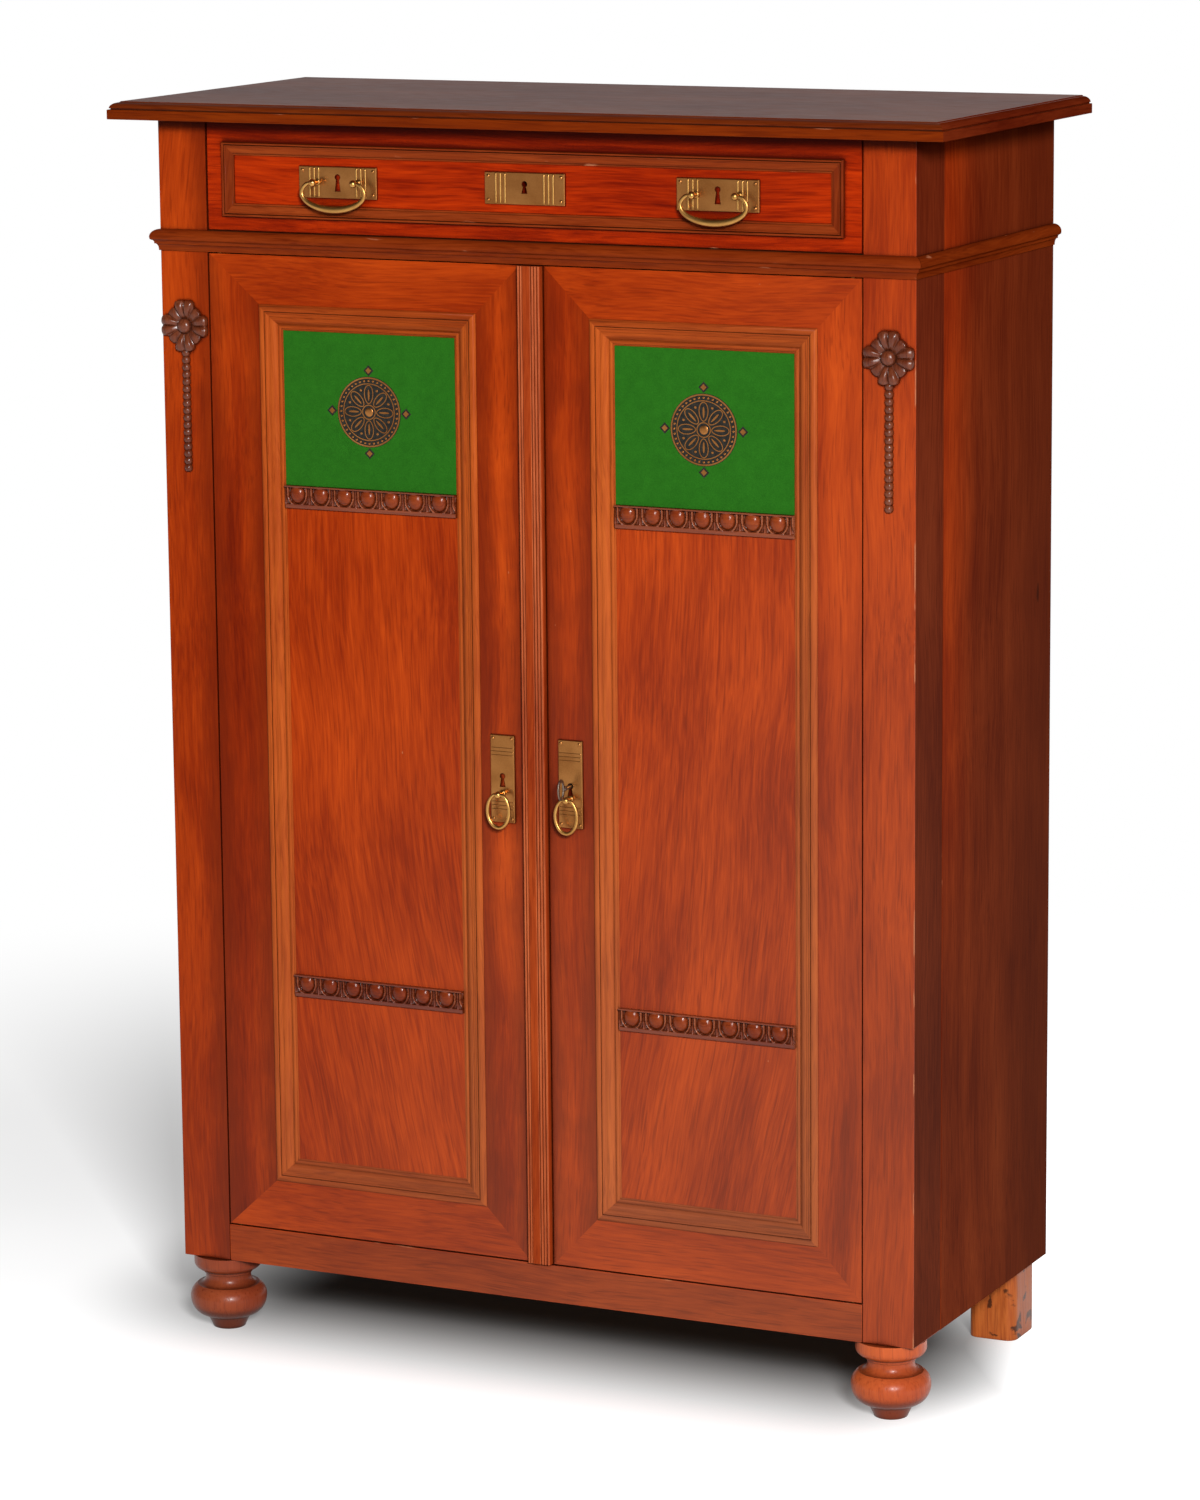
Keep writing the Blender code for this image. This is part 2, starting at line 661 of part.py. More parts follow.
def rosettes(carcass):
    """Carved rosette with its bead drop in the middle of each post."""
    height = DUST_UNDER - ROSETTE_DROP
    for side, sign in (("left", -1), ("right", 1)):
        x = sign * POST_MIDDLE
        flower = piece(f"{side}_rosette", rosette_solid((x, height)), CARVED_WOOD, carcass, smooth=True)
        join(flower, "bead_drop", bead_drop_solid(x, height - ROSETTE_RADIUS * 0.9))


def drawer_bolt_depth():
    """Front and back of the drawer lock's bolt."""
    far = DRAWER_FRONT_BACK - LOCK_WALL
    return far - LOCK_CASE_THICKNESS + 2 * LOCK_WALL, far


def drawer_field_profile():
    """Drawer moulding as (inset, height) points: rounded outer bead, step and inner slope."""
    wide = DRAWER_MOULDING_WIDTH
    thick = DRAWER_MOULDING_THICKNESS
    bead = arc((wide * 0.22, thick * 0.55), (-wide * 0.22, thick * 0.45), 0.0, 0.8, 5)
    slope = [(wide * 0.46, thick * 0.62), (wide * 0.52, thick * 0.72), (wide * 0.80, thick * 0.50)]
    return [(0.0, GAP), *bead, *slope, (wide, thick * 0.22), (wide, GAP)]


def drawer_box(drawer):
    """Drawer front, sides, back and bottom; the bottom sits in grooves in the sides."""
    front = slab((-DRAWER_EDGE, FACE, DRAWER_LOW), (DRAWER_EDGE, DRAWER_FRONT_BACK, DRAWER_HIGH))
    front = piece("drawer_front", front, DRAWER_VENEER, drawer)
    low, high = drawer_case_box()
    room = Vector((GAP, 0.0, GAP))
    deep = Vector((0.0, LOCK_CASE_THICKNESS, 0.0))
    cut(front, "lock_pocket", slab(low - room - Vector((0.0, GAP, 0.0)), high + room + deep))
    near, far = drawer_bolt_depth()
    half = DRAWER_BOLT_WIDTH / 2 + PIN_CLEARANCE
    slot_low = (-half, near - PIN_CLEARANCE, high.z - LOCK_WALL)
    cut(front, "bolt_slot", slab(slot_low, (half, far + PIN_CLEARANCE, DRAWER_HIGH + LOCK_WALL)))
    hole = keyhole_outline(0.0, PULL_Z + DRAWER_KEYHOLE_RISE)
    cut(front, "keyhole", prism(hole, "Y", FACE - PLATE_THICKNESS, low.y + LOCK_WALL))

    outer = DRAWER_EDGE - GAP
    inner = outer - DRAWER_SIDE_THICKNESS
    start = DRAWER_FRONT_BACK + GAP
    top = DRAWER_SIDE_LOW + DRAWER_SIDE_HEIGHT
    groove = inner + DRAWER_GROOVE_DEPTH
    for side, sign in (("left", -1), ("right", 1)):
        outline = [(outer, DRAWER_SIDE_LOW), (outer, top), (inner, top), (inner, DRAWER_BOTTOM_TOP + GAP)]
        outline += [(groove, DRAWER_BOTTOM_TOP + GAP), (groove, DRAWER_BOTTOM_LOW - GAP)]
        outline += [(inner, DRAWER_BOTTOM_LOW - GAP), (inner, DRAWER_SIDE_LOW)]
        outline = [(sign * x, z) for x, z in outline]
        piece(f"drawer_{side}_side", prism(outline, "Y", start, DRAWER_END), PINE, drawer)
    reach = groove - GAP
    bottom = slab((-reach, start, DRAWER_BOTTOM_LOW), (reach, DRAWER_END, DRAWER_BOTTOM_TOP))
    piece("drawer_bottom", bottom, PINE, drawer)
    wide = inner - GAP
    rear = DRAWER_END - DRAWER_SIDE_THICKNESS
    piece("drawer_back", slab((-wide, rear, DRAWER_BOTTOM_TOP + GAP), (wide, DRAWER_END, top)), PINE, drawer)

    low = (-DRAWER_FIELD, PULL_Z - DRAWER_FIELD_HEIGHT / 2)
    high = (DRAWER_FIELD, PULL_Z + DRAWER_FIELD_HEIGHT / 2)
    moulding = mitred_frame(low, high, FACE, drawer_field_profile())
    piece("drawer_moulding", moulding, MOULDING_WOOD, drawer)


def drawer_case_box():
    """Corners of the drawer's lock case, let into the back of the drawer front."""
    half = DRAWER_CASE_WIDTH / 2
    top = DRAWER_HIGH - LOCK_EDGE_SETBACK
    low = Vector((-half, DRAWER_FRONT_BACK - LOCK_CASE_THICKNESS, top - DRAWER_CASE_HEIGHT))
    return low, Vector((half, DRAWER_FRONT_BACK, top))


def drawer_lock(drawer):
    """Drawer lock: a case with an open channel and a bolt that rises into the top board."""
    low, high = drawer_case_box()
    case = piece("drawer_lock_case", slab(low, high), IRON, drawer)
    near, far = drawer_bolt_depth()
    half = DRAWER_BOLT_WIDTH / 2
    bolt_low = high.z - DRAWER_CASE_HEIGHT / 2
    room = PIN_CLEARANCE
    channel_low = (-half - room, near - room, bolt_low - room)
    cut(case, "channel", slab(channel_low, (half + room, far + room, high.z + LOCK_WALL)))
    head = keyhole_outline(0.0, PULL_Z + DRAWER_KEYHOLE_RISE)
    cut(case, "keyhole", prism(head, "Y", low.y - LOCK_WALL, low.y + LOCK_CASE_THICKNESS / 2))
    bolt_axis = axis_empty("drawer_bolt_slide", (0.0, (near + far) / 2, DRAWER_HIGH), drawer)
    bolt = slab((-half, near, bolt_low), (half, far, DRAWER_HIGH - GAP))
    piece("drawer_lock_bolt", bolt, IRON, bolt_axis)


def keyhole_outline(x, z):
    """Keyhole: a round head round the key's shank and a slot below it."""
    half = KEYHOLE_SLOT_WIDTH / 2
    foot = z + KEYHOLE_RADIUS - KEYHOLE_LENGTH
    shoulder = z - sqrt(KEYHOLE_RADIUS**2 - half**2)
    head = arc((x, z), (KEYHOLE_RADIUS, KEYHOLE_RADIUS), -0.30, 1.30, 12)
    return [(x - half, shoulder), (x - half, foot), (x + half, foot), (x + half, shoulder), *head]


def bevelled_plate(x, z, width, height):
    """Thin brass plate on the front face, with a bevelled rim."""
    rim = PLATE_THICKNESS * 0.5
    rings = []
    for inset, rise in ((0.0, GAP), (0.0, GAP + rim), (rim, GAP + PLATE_THICKNESS)):
        half_x = width / 2 - inset
        half_z = height / 2 - inset
        corners = ((-half_x, -half_z), (half_x, -half_z), (half_x, half_z), (-half_x, half_z))
        rings.append([(x + u, FACE - rise, z + v) for u, v in corners])
    return lofted(rings)


def post_solid(x, z):
    """Post that stands out of a plate and ends in a ball."""
    start = PLATE_FACE + PLATE_THICKNESS / 2
    collar = PLATE_FACE - STEM_FOOT_HEIGHT
    stem = [(STEM_FOOT_RADIUS, start), (STEM_FOOT_RADIUS, collar), (STEM_RADIUS, collar - STEM_CHAMFER)]
    meet = sqrt(BALL_RADIUS**2 - STEM_RADIUS**2)
    ball = []
    for share in (0.78, 0.60, 0.45, 0.30, 0.16, 0.06):
        angle = pi * share
        if BALL_RADIUS * cos(angle) < meet:
            ball.append((BALL_RADIUS * sin(angle), POST_Y - BALL_RADIUS * cos(angle)))
    return turned([*stem, (STEM_RADIUS, POST_Y + meet), *ball], "Y", (x, z), 12)


def pull_plates(drawer):
    """Two pull plates with hanging bails, and the escutcheon between them."""
    for side, sign in (("left", -1), ("right", 1)):
        x = sign * PULL_X
        plate = bevelled_plate(x, PULL_Z, PLATE_LENGTH, PLATE_WIDTH)
        plate = piece(f"{side}_pull_plate", plate, BRASS, drawer)
        reach = BAIL_POST_SPACING / 2
        bore = BAIL_END_RADIUS + PIN_CLEARANCE
        for end, turn in (("a", -1), ("b", 1)):
            post_x = x + turn * reach
            join(plate, f"post_{end}", post_solid(post_x, PULL_Z))
            mouth = sorted((post_x - turn * BALL_RADIUS / 2, post_x + turn * 2 * BALL_RADIUS))
            cut(plate, f"bore_{end}", rod((POST_Y, PULL_Z), bore, "X", *mouth))
        swing = axis_empty(f"{side}_bail_axis", (x, POST_Y, PULL_Z), drawer)
        piece(f"{side}_bail", bail_solid(x), BRASS, swing, smooth=True)
    escutcheon = bevelled_plate(0.0, PULL_Z, PLATE_LENGTH, PLATE_WIDTH)
    escutcheon = piece("drawer_escutcheon", escutcheon, BRASS, drawer)
    hole = keyhole_outline(0.0, PULL_Z + DRAWER_KEYHOLE_RISE)
    cut(escutcheon, "keyhole", prism(hole, "Y", PLATE_FACE - PLATE_THICKNESS, FACE))


def bail_solid(x):
    """Hanging bail: an oval bow, thick in the middle, whose ends turn in to pegs in the posts."""
    peg = BAIL_POST_SPACING / 2
    shoulder = peg + BAIL_PEG_LENGTH
    lean = sqrt(1 - (shoulder / BAIL_HALF_WIDTH) ** 2)
    half_height = BAIL_DROP / (1 + lean)
    middle = PULL_Z - half_height * lean
    steps = 18
    path = [(x - peg, POST_Y, PULL_Z)]
    radii = [BAIL_END_RADIUS]
    first = pi - asin(shoulder / BAIL_HALF_WIDTH)
    for i in range(steps + 1):
        angle = -first + 2 * first * i / steps
        path.append((x + BAIL_HALF_WIDTH * sin(angle), POST_Y, middle - half_height * cos(angle)))
        swell = max(0.0, cos(angle)) ** 2
        radii.append(BAIL_END_RADIUS + (BAIL_MIDDLE_RADIUS - BAIL_END_RADIUS) * swell)
    path.append((x + peg, POST_Y, PULL_Z))
    radii.append(BAIL_END_RADIUS)
    return flat_tube(path, radii, (0.0, 1.0, 0.0), closed=False)


def panel_moulding_profile():
    """Panel moulding as (inset, height over the frame) points, stepped down from the frame to the panel."""
    wide = MOULDING_WIDTH
    rise = MOULDING_RISE
    sunk = -PANEL_RECESS
    lip = arc((wide * 0.11, rise * 0.5), (-wide * 0.11, rise * 0.5), 0.0, 0.85, 5)
    roll = arc((wide * 0.24, sunk * 0.45), (wide * 0.46, rise * 0.85 - sunk * 0.45), 0.46, 0.0, 5)
    bead = [(wide * 0.73, sunk * 0.62), (wide * 0.80, sunk * 0.36), (wide * 0.90, sunk * 0.46)]
    seat = [(wide, sunk + GAP), (MOULDING_OVERLAP + GAP, sunk + GAP), (MOULDING_OVERLAP + GAP, GAP)]
    return [(0.0, GAP), *lip, *roll, *bead, (wide, sunk * 0.62), *seat]


def strip_outline():
    """Meeting strip seen from above: two reeds, a flat band and three reeds."""
    seat = FACE - GAP
    shares = (0.115, 0.115, 0.370, 0.133, 0.133, 0.134)
    band = 2
    valley = STRIP_THICKNESS * 0.72
    points = [(STRIP_LEFT, seat)]
    start = STRIP_LEFT
    for index, share in enumerate(shares):
        width = share * STRIP_WIDTH
        if index == band:
            points += [(start, seat - STRIP_THICKNESS), (start + width, seat - STRIP_THICKNESS)]
        else:
            middle = (start + width / 2, seat - valley)
            reed = arc(middle, (width / 2, STRIP_THICKNESS - valley), 0.98, 0.02, 3)
            points += [(x, 2 * (seat - valley) - y) for x, y in reed]
        start += width
    return [*points, (LEFT_MEETING, seat)]


def egg_rail_solid(left, right, low):
    """Rail of eggs in relief, as cross-sections from end to end."""
    face = PANEL_FACE - GAP
    rows = 5
    columns = round(4 * (right - left) / EGG_PITCH)
    rings = []
    for column in range(columns + 1):
        x = left + (right - left) * column / columns
        across = ((x - left) / EGG_PITCH) % 1.0 - 0.5
        ring = [(x, face, low)]
        for row in range(rows + 1):
            up = row / rows
            egg = max(0.0, 1.0 - (across / 0.42) ** 2 - ((up - 0.48) / 0.50) ** 2)
            rise = 0.30 + 0.25 * up + 0.45 * sqrt(egg)
            ring.append((x, face - EGG_RAIL_THICKNESS * rise, low + up * EGG_RAIL_HEIGHT))
        ring.append((x, face, low + EGG_RAIL_HEIGHT))
        rings.append(ring)
    return lofted(rings)


def door_leaf(side, sign, meeting, field, door):
    """Door frame with its panel, panel moulding, green field and egg rails."""
    xs = sorted((sign * DOOR_EDGE, meeting))
    frame = slab((xs[0], FACE, DOOR_BOTTOM), (xs[1], DOOR_BACK, DOOR_TOP))
    frame = piece(f"{side}_door_frame", frame, VENEER, door)
    left, right = field[0] + MOULDING_OVERLAP, field[1] - MOULDING_OVERLAP
    low, high = FIELD_LOW + MOULDING_OVERLAP, FIELD_HIGH - MOULDING_OVERLAP
    panel_back = PANEL_FACE + PANEL_THICKNESS
    groove_low = (left - PANEL_TONGUE, PANEL_FACE - GAP, low - PANEL_TONGUE)
    groove_high = (right + PANEL_TONGUE, panel_back + GAP, high + PANEL_TONGUE)
    cut(frame, "groove", slab(groove_low, groove_high))
    cut(frame, "opening", slab((left, FACE - PANEL_RECESS, low), (right, DOOR_BACK + PANEL_RECESS, high)))
    tongue = PANEL_TONGUE - GAP
    panel_low = (left - tongue, PANEL_FACE, low - tongue)
    panel_high = (right + tongue, panel_back, high + tongue)
    piece(f"{side}_door_panel", slab(panel_low, panel_high), VENEER, door)
    moulding = mitred_frame((field[0], FIELD_LOW), (field[1], FIELD_HIGH), FACE, panel_moulding_profile())
    piece(f"{side}_panel_moulding", moulding, MOULDING_WOOD, door)

    inset = MOULDING_WIDTH + GAP
    left, right = field[0] + inset, field[1] - inset
    green_high = FIELD_HIGH - inset
    green_low = green_high - GREEN_HEIGHT
    green = slab((left, PANEL_FACE - GAP - GREEN_THICKNESS, green_low), (right, PANEL_FACE - GAP, green_high))
    piece(f"{side}_green_field", green, GREEN_FELT, door)
    upper = green_low - GAP - EGG_RAIL_HEIGHT
    lower = FIELD_LOW + MOULDING_WIDTH + LOWER_RAIL_RISE
    for name, rail in (("upper", upper), ("lower", lower)):
        eggs = egg_rail_solid(left, right, rail)
        piece(f"{side}_{name}_egg_rail", eggs, CARVED_WOOD, door, smooth=True)
    return frame


def door_pivots(side, sign, frame, door):
    """Pivot hinges let into the door's bottom and top edges: a plate, a thrust collar and a pin."""
    centre = (sign * PIN_X, PIN_Y)
    half = PIVOT_PLATE_WIDTH / 2
    xs = sorted((sign * (PIN_X + half), sign * (PIN_X + half - PIVOT_PLATE_LENGTH)))
    ys = (PIN_Y - half, PIN_Y + half)
    collar = (half + PIVOT_PIN_RADIUS) / 2
    ends = (("bottom", DOOR_BOTTOM, PLINTH_TOP, 1), ("top", DOOR_TOP, DUST_UNDER, -1))
    for name, edge, seat, inward in ends:
        zs = sorted((edge, edge + inward * PIVOT_PLATE_THICKNESS))
        plate = slab((xs[0], ys[0], zs[0]), (xs[1], ys[1], zs[1]))
        plate = piece(f"{side}_{name}_pivot", plate, BRASS, door)
        tip = seat - inward * PIVOT_PIN_LENGTH
        profile = [(PIVOT_PIN_RADIUS * 0.8, tip), (PIVOT_PIN_RADIUS, tip + inward * PIVOT_PIN_RADIUS / 4)]
        profile += [(PIVOT_PIN_RADIUS, seat + inward * GAP), (collar, seat + inward * GAP)]
        profile.append((collar, edge + inward * PIVOT_PLATE_THICKNESS / 2))
        join(plate, "pin", turned(profile, "Z", centre, HOLE_SIDES))
        depth = inward * PIVOT_PLATE_THICKNESS
        pocket = sorted((edge - depth, edge + depth + inward * GAP))
        low = (xs[0] - GAP, ys[0] - GAP, pocket[0])
        high = (xs[1] + GAP, ys[1] + GAP, pocket[1])
        cut(frame, f"{name}_pivot_pocket", slab(low, high))


def ring_solid(x):
    """Hanging oval ring with a short straight top, which turns in its post."""
    half = RING_WIDTH / 2
    tall = RING_HEIGHT / 2
    first = asin(RING_FLAT / half)
    steps = 24
    path = []
    for i in range(steps + 1):
        angle = first + 2 * (pi - first) * i / steps
        path.append((x + half * sin(angle), POST_Y, RING_Z + tall * (cos(angle) - cos(first))))
    return flat_tube(path, [RING_WIRE_RADIUS] * len(path), (0.0, 1.0, 0.0), closed=True)


def ring_plate(side, x, door):
    """Door plate with a post, and the ring that hangs in the post."""
    plate = bevelled_plate(x, DOOR_PLATE_HEIGHT, DOOR_PLATE_WIDTH, DOOR_PLATE_LENGTH)
    plate = piece(f"{side}_ring_plate", plate, BRASS, door)
    join(plate, "post", post_solid(x, RING_Z))
    bore = RING_WIRE_RADIUS + PIN_CLEARANCE
    cut(plate, "ring_bore", rod((POST_Y, RING_Z), bore, "X", x - 2 * BALL_RADIUS, x + 2 * BALL_RADIUS))
    swing = axis_empty(f"{side}_ring_axis", (x, POST_Y, RING_Z), door)
    piece(f"{side}_ring", ring_solid(x), BRASS, swing, smooth=True)
    return plate


def top_bolt_box():
    """Corners of the sliding bolt that holds the left door's top."""
    middle = LEFT_MEETING - TOP_BOLT_FROM_EDGE
    half = TOP_BOLT_WIDTH / 2
    top = DOOR_TOP - GAP
    low = Vector((middle - half, DOOR_BACK - TOP_BOLT_THICKNESS, top - TOP_BOLT_LENGTH))
    return low, Vector((middle + half, DOOR_BACK, top))


def lock_bolt_box():
    """Corners of the right door's lock bolt, drawn back at rest."""
    near = DOOR_BACK - LOCK_CASE_THICKNESS + LOCK_WALL
    low = Vector((RIGHT_MEETING + GAP, near, LOCK_BOLT_Z - BOLT_HEIGHT / 2))
    return low, Vector((low.x + BOLT_LENGTH, DOOR_BACK - LOCK_WALL, LOCK_BOLT_Z + BOLT_HEIGHT / 2))


def left_door(carcass):
    """Left door, with the meeting strip and the top bolt."""
    door = axis_empty("left_door_hinge", (-PIN_X, PIN_Y, DOOR_BOTTOM), carcass)
    frame = door_leaf("left", -1, LEFT_MEETING, LEFT_FIELD, door)
    door_pivots("left", -1, frame, door)
    ring_plate("left", LEFT_PLATE_X, door)
    piece("meeting_strip", prism(strip_outline(), "Z", DOOR_BOTTOM, DOOR_TOP), MOULDING_WOOD, door)
    low, high = top_bolt_box()
    room = Vector((PIN_CLEARANCE, PIN_CLEARANCE, PIN_CLEARANCE))
    past = Vector((PIN_CLEARANCE, TOP_BOLT_THICKNESS, TOP_BOLT_THICKNESS))
    cut(frame, "bolt_groove", slab(low - room, high + past))
    slide = axis_empty("left_top_bolt_slide", high, door)
    piece("left_top_bolt", slab(low, high), IRON, slide)
    low, high = lock_bolt_box()
    reach = BOLT_THROW + RUNNING_GAP
    mortise_low = (low.x - reach, low.y - PIN_CLEARANCE, low.z - PIN_CLEARANCE)
    mortise_high = (LEFT_MEETING + reach, high.y + PIN_CLEARANCE, high.z + PIN_CLEARANCE)
    cut(frame, "lock_mortise", slab(mortise_low, mortise_high))


def key_solid(key):
    """Key: round shank, oval bow in the upright plane and a bit that points down."""
    bow_y = FACE - KEY_BOW_REACH
    tip = DOOR_BACK - KEY_POCKET_FLOOR - KEY_TIP_LENGTH
    neck = bow_y + KEY_BOW_HALF_LENGTH
    shank = rod((RIGHT_PLATE_X, KEY_Z), KEY_SHANK_RADIUS, "Y", neck, tip, sides=12)
    shank = piece("door_key", shank, IRON, key, smooth=True)
    path = []
    steps = 20
    for i in range(steps):
        angle = 2 * pi * i / steps
        y = bow_y + KEY_BOW_HALF_LENGTH * cos(angle)
        path.append((RIGHT_PLATE_X, y, KEY_Z + KEY_BOW_HALF_HEIGHT * sin(angle)))
    join(shank, "bow", flat_tube(path, [KEY_WIRE_RADIUS] * steps, (1.0, 0.0, 0.0), closed=True))
    half = KEY_BIT_THICKNESS / 2
    end = tip - KEY_TIP_LENGTH
    low = (RIGHT_PLATE_X - half, end - KEY_BIT_WIDTH, KEY_Z - KEY_BIT_LENGTH)
    high = (RIGHT_PLATE_X + half, end, KEY_Z)
    join(shank, "bit", slab(low, high))


def right_door(carcass):
    """Right door, with its lock, bolt and key."""
    door = axis_empty("right_door_hinge", (PIN_X, PIN_Y, DOOR_BOTTOM), carcass)
    frame = door_leaf("right", 1, RIGHT_MEETING, RIGHT_FIELD, door)
    door_pivots("right", 1, frame, door)
    plate = ring_plate("right", RIGHT_PLATE_X, door)

    case_left = RIGHT_MEETING + LOCK_EDGE_SETBACK
    case_z = (KEY_Z + LOCK_BOLT_Z) / 2
    case_front = DOOR_BACK - LOCK_CASE_THICKNESS
    low = Vector((case_left, case_front, case_z - LOCK_CASE_HEIGHT / 2))
    high = Vector((case_left + LOCK_CASE_WIDTH, DOOR_BACK, case_z + LOCK_CASE_HEIGHT / 2))
    case = piece("door_lock_case", slab(low, high), IRON, door)
    room = Vector((GAP, GAP, GAP))
    cut(frame, "lock_pocket", slab(low - room, high + room + Vector((0.0, LOCK_WALL, 0.0))))
    bolt_low, bolt_high = lock_bolt_box()
    loose = Vector((PIN_CLEARANCE, PIN_CLEARANCE, PIN_CLEARANCE))
    back_off = Vector((LOCK_EDGE_SETBACK, 0.0, 0.0))
    slot_high = Vector((case_left + LOCK_WALL, bolt_high.y, bolt_high.z))
    cut(frame, "bolt_slot", slab(bolt_low - loose - back_off, slot_high + loose))
    cut(case, "channel", slab(bolt_low - loose - back_off, bolt_high + loose))
    hole = keyhole_outline(RIGHT_PLATE_X, KEY_Z)
    cut(plate, "keyhole", prism(hole, "Y", PLATE_FACE - PLATE_THICKNESS, FACE))
    cut(frame, "keyhole", prism(hole, "Y", FACE - PLATE_THICKNESS, case_front + LOCK_WALL))
    pocket = KEY_BIT_LENGTH + 2 * PIN_CLEARANCE
    pocket_end = DOOR_BACK - KEY_POCKET_FLOOR
    cut(case, "key_pocket", rod((RIGHT_PLATE_X, KEY_Z), pocket, "Y", case_front - LOCK_WALL, pocket_end))

    slide = axis_empty("lock_bolt_slide", (bolt_low.x, (bolt_low.y + bolt_high.y) / 2, LOCK_BOLT_Z), door)
    piece("door_lock_bolt", slab(bolt_low, bolt_high), IRON, slide)
    key_solid(axis_empty("key_turn", (RIGHT_PLATE_X, FACE, KEY_Z), door))


def main():
    """Clear the scene and build the cabinet."""
    for obj in list(bpy.data.objects):
        bpy.data.objects.remove(obj)
    carcass = axis_empty("carcass", (0.0, 0.0, 0.0))
    top_board(carcass)
    front_posts(carcass)
    side_panels(carcass)
    carcass_boards(carcass)
    shelves(carcass)
    mid_mouldings(carcass)
    feet(carcass)
    rosettes(carcass)
    drawer = axis_empty("drawer_slide", (0.0, FACE, PULL_Z), carcass)
    drawer_box(drawer)
    drawer_lock(drawer)
    pull_plates(drawer)
    left_door(carcass)
    right_door(carcass)


main()
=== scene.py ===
"""Highboard cabinet, dressed: finishes, mouldings, carving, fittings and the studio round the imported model.

Metres, +Z up, the front towards -Y. Each operator makes one piece or one group of like pieces, and main
calls them in order. Every piece is drawn in place, so a piece's own coordinates are the cabinet's.
"""

import json
from math import acos, asin, cos, exp, pi, radians, sin, sqrt

import bmesh
import bpy
from bpy.props import FloatProperty, FloatVectorProperty, IntProperty, PointerProperty
from mathutils import Matrix, Vector


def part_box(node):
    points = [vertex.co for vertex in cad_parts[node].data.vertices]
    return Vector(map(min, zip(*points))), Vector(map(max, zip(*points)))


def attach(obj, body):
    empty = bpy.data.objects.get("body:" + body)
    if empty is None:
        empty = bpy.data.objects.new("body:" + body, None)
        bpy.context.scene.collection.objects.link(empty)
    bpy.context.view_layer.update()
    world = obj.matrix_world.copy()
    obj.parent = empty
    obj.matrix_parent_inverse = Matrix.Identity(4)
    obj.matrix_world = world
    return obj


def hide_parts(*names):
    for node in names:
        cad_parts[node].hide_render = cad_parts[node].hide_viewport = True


bl_info = {
    "name": "Highboard Cabinet",
    "version": (1, 0, 0),
    "blender": (4, 5, 0),
    "location": "3D View > Sidebar > Cabinet",
    "description": "Dresses the packed highboard cabinet and sets the studio round it",
    "category": "Object",
}

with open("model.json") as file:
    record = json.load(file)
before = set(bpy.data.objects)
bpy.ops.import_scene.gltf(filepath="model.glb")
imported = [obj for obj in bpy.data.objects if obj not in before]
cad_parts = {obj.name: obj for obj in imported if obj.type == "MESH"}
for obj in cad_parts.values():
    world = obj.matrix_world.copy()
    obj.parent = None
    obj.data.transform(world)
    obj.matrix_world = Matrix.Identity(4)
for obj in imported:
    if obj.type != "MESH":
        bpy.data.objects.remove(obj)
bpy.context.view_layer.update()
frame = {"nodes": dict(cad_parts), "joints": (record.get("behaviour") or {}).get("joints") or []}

SIDES = (("left", -1), ("right", 1))

# Values that several pieces share, lengths in metres. Points closer than WELD become one, SEAT_GAP parts a
# moulding or a foot from what it lies on, PEG is half the distance between the posts of a drawer pull, and
# FACING is square to the front.
WELD = 0.00002
SEAT_GAP = 0.0003
PLATE_THICK = 0.0020
PEG = 0.0255
FACING = (0.0, 1.0, 0.0)
WHITE = (1.0, 1.0, 1.0, 1.0)

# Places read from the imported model
POST_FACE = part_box("left_front_post")[0].y
SIDE_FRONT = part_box("left_side_panel")[0].y
DOOR_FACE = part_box("left_door_frame")[0].y
PANEL_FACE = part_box("left_door_panel")[0].y
JOINT_PLACES = {joint["name"]: Vector(joint["pos_m"]) for joint in frame["joints"] if "pos_m" in joint}
PULL_LINE = JOINT_PLACES["left_bail_swing"].z
POST_LINE = JOINT_PLACES["left_bail_swing"].y
KEY_PLACE = JOINT_PLACES["key_turn"]

# Upright lines beside the mouldings and the door gaps, along which the polish is made darker
DARK_LINES = [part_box("left_front_post")[1].x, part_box("right_panel_moulding")[0].x]
for darkened in ("left_panel_moulding", "meeting_strip"):
    DARK_LINES += [corner.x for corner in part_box(darkened)]

# Bend of the grain in the door panels: it leans further towards the meeting edge the lower it is
LEFT_BOW = (0.13, 1.00)
RIGHT_BOW = (-0.13, 1.00)

# How each wood is laid. tone names its colour. The grain runs along an axis, straight or in a bow. broad,
# bands, mottle, streaks and fibre are the strengths of the figure from large to small; rough and shine are
# the polish. grime darkens hollows within its reach, partly as dirt and partly as painted shade, under
# darkens the wood below an overhang as painted shade, lines darkens the polish beside the mouldings, soot
# makes it darker towards the back, and glow paints a sheen along the front edge of the side panels, most
# of all in their upper half. dust is a dull film, and wear, stain, knots and specks are marks of age; on
# the rounded arrises the pale wear also stands for a painted highlight.
# Dust, and the painted shade under overhangs, that many woods share
AGED_AND_SHADED = {"dust": 0.16, "under": 0.92}
FLAME = {
    "tone": "panel", "grain": "Z", "broad": 0.46, "streaks": 0.36, "fibre": 0.34, "dust": 0.16, "specks": 0.8,
}
MOULDING = {
    "broad": 0.2, "bands": 0.10, "mottle": 0.14, "streaks": 0.16, "fibre": 0.18, "grime_and_shade": 0.85,
    "reach": 0.0045, "dust": 0.20,
}
TURNED = {
    "grain": "Z", "bands": 0.05, "mottle": 0.08, "streaks": 0.10, "fibre": 0.12, "rough": 0.32, "grime_and_shade": 0.8,
    "shine": 0.22, "under": 0.7,
}
PINE = {
    "tone": "pine", "broad": 0.15, "bands": 0.25, "mottle": 0.08, "streaks": 0.20, "fibre": 0.20,
    "rough": 0.62,
}
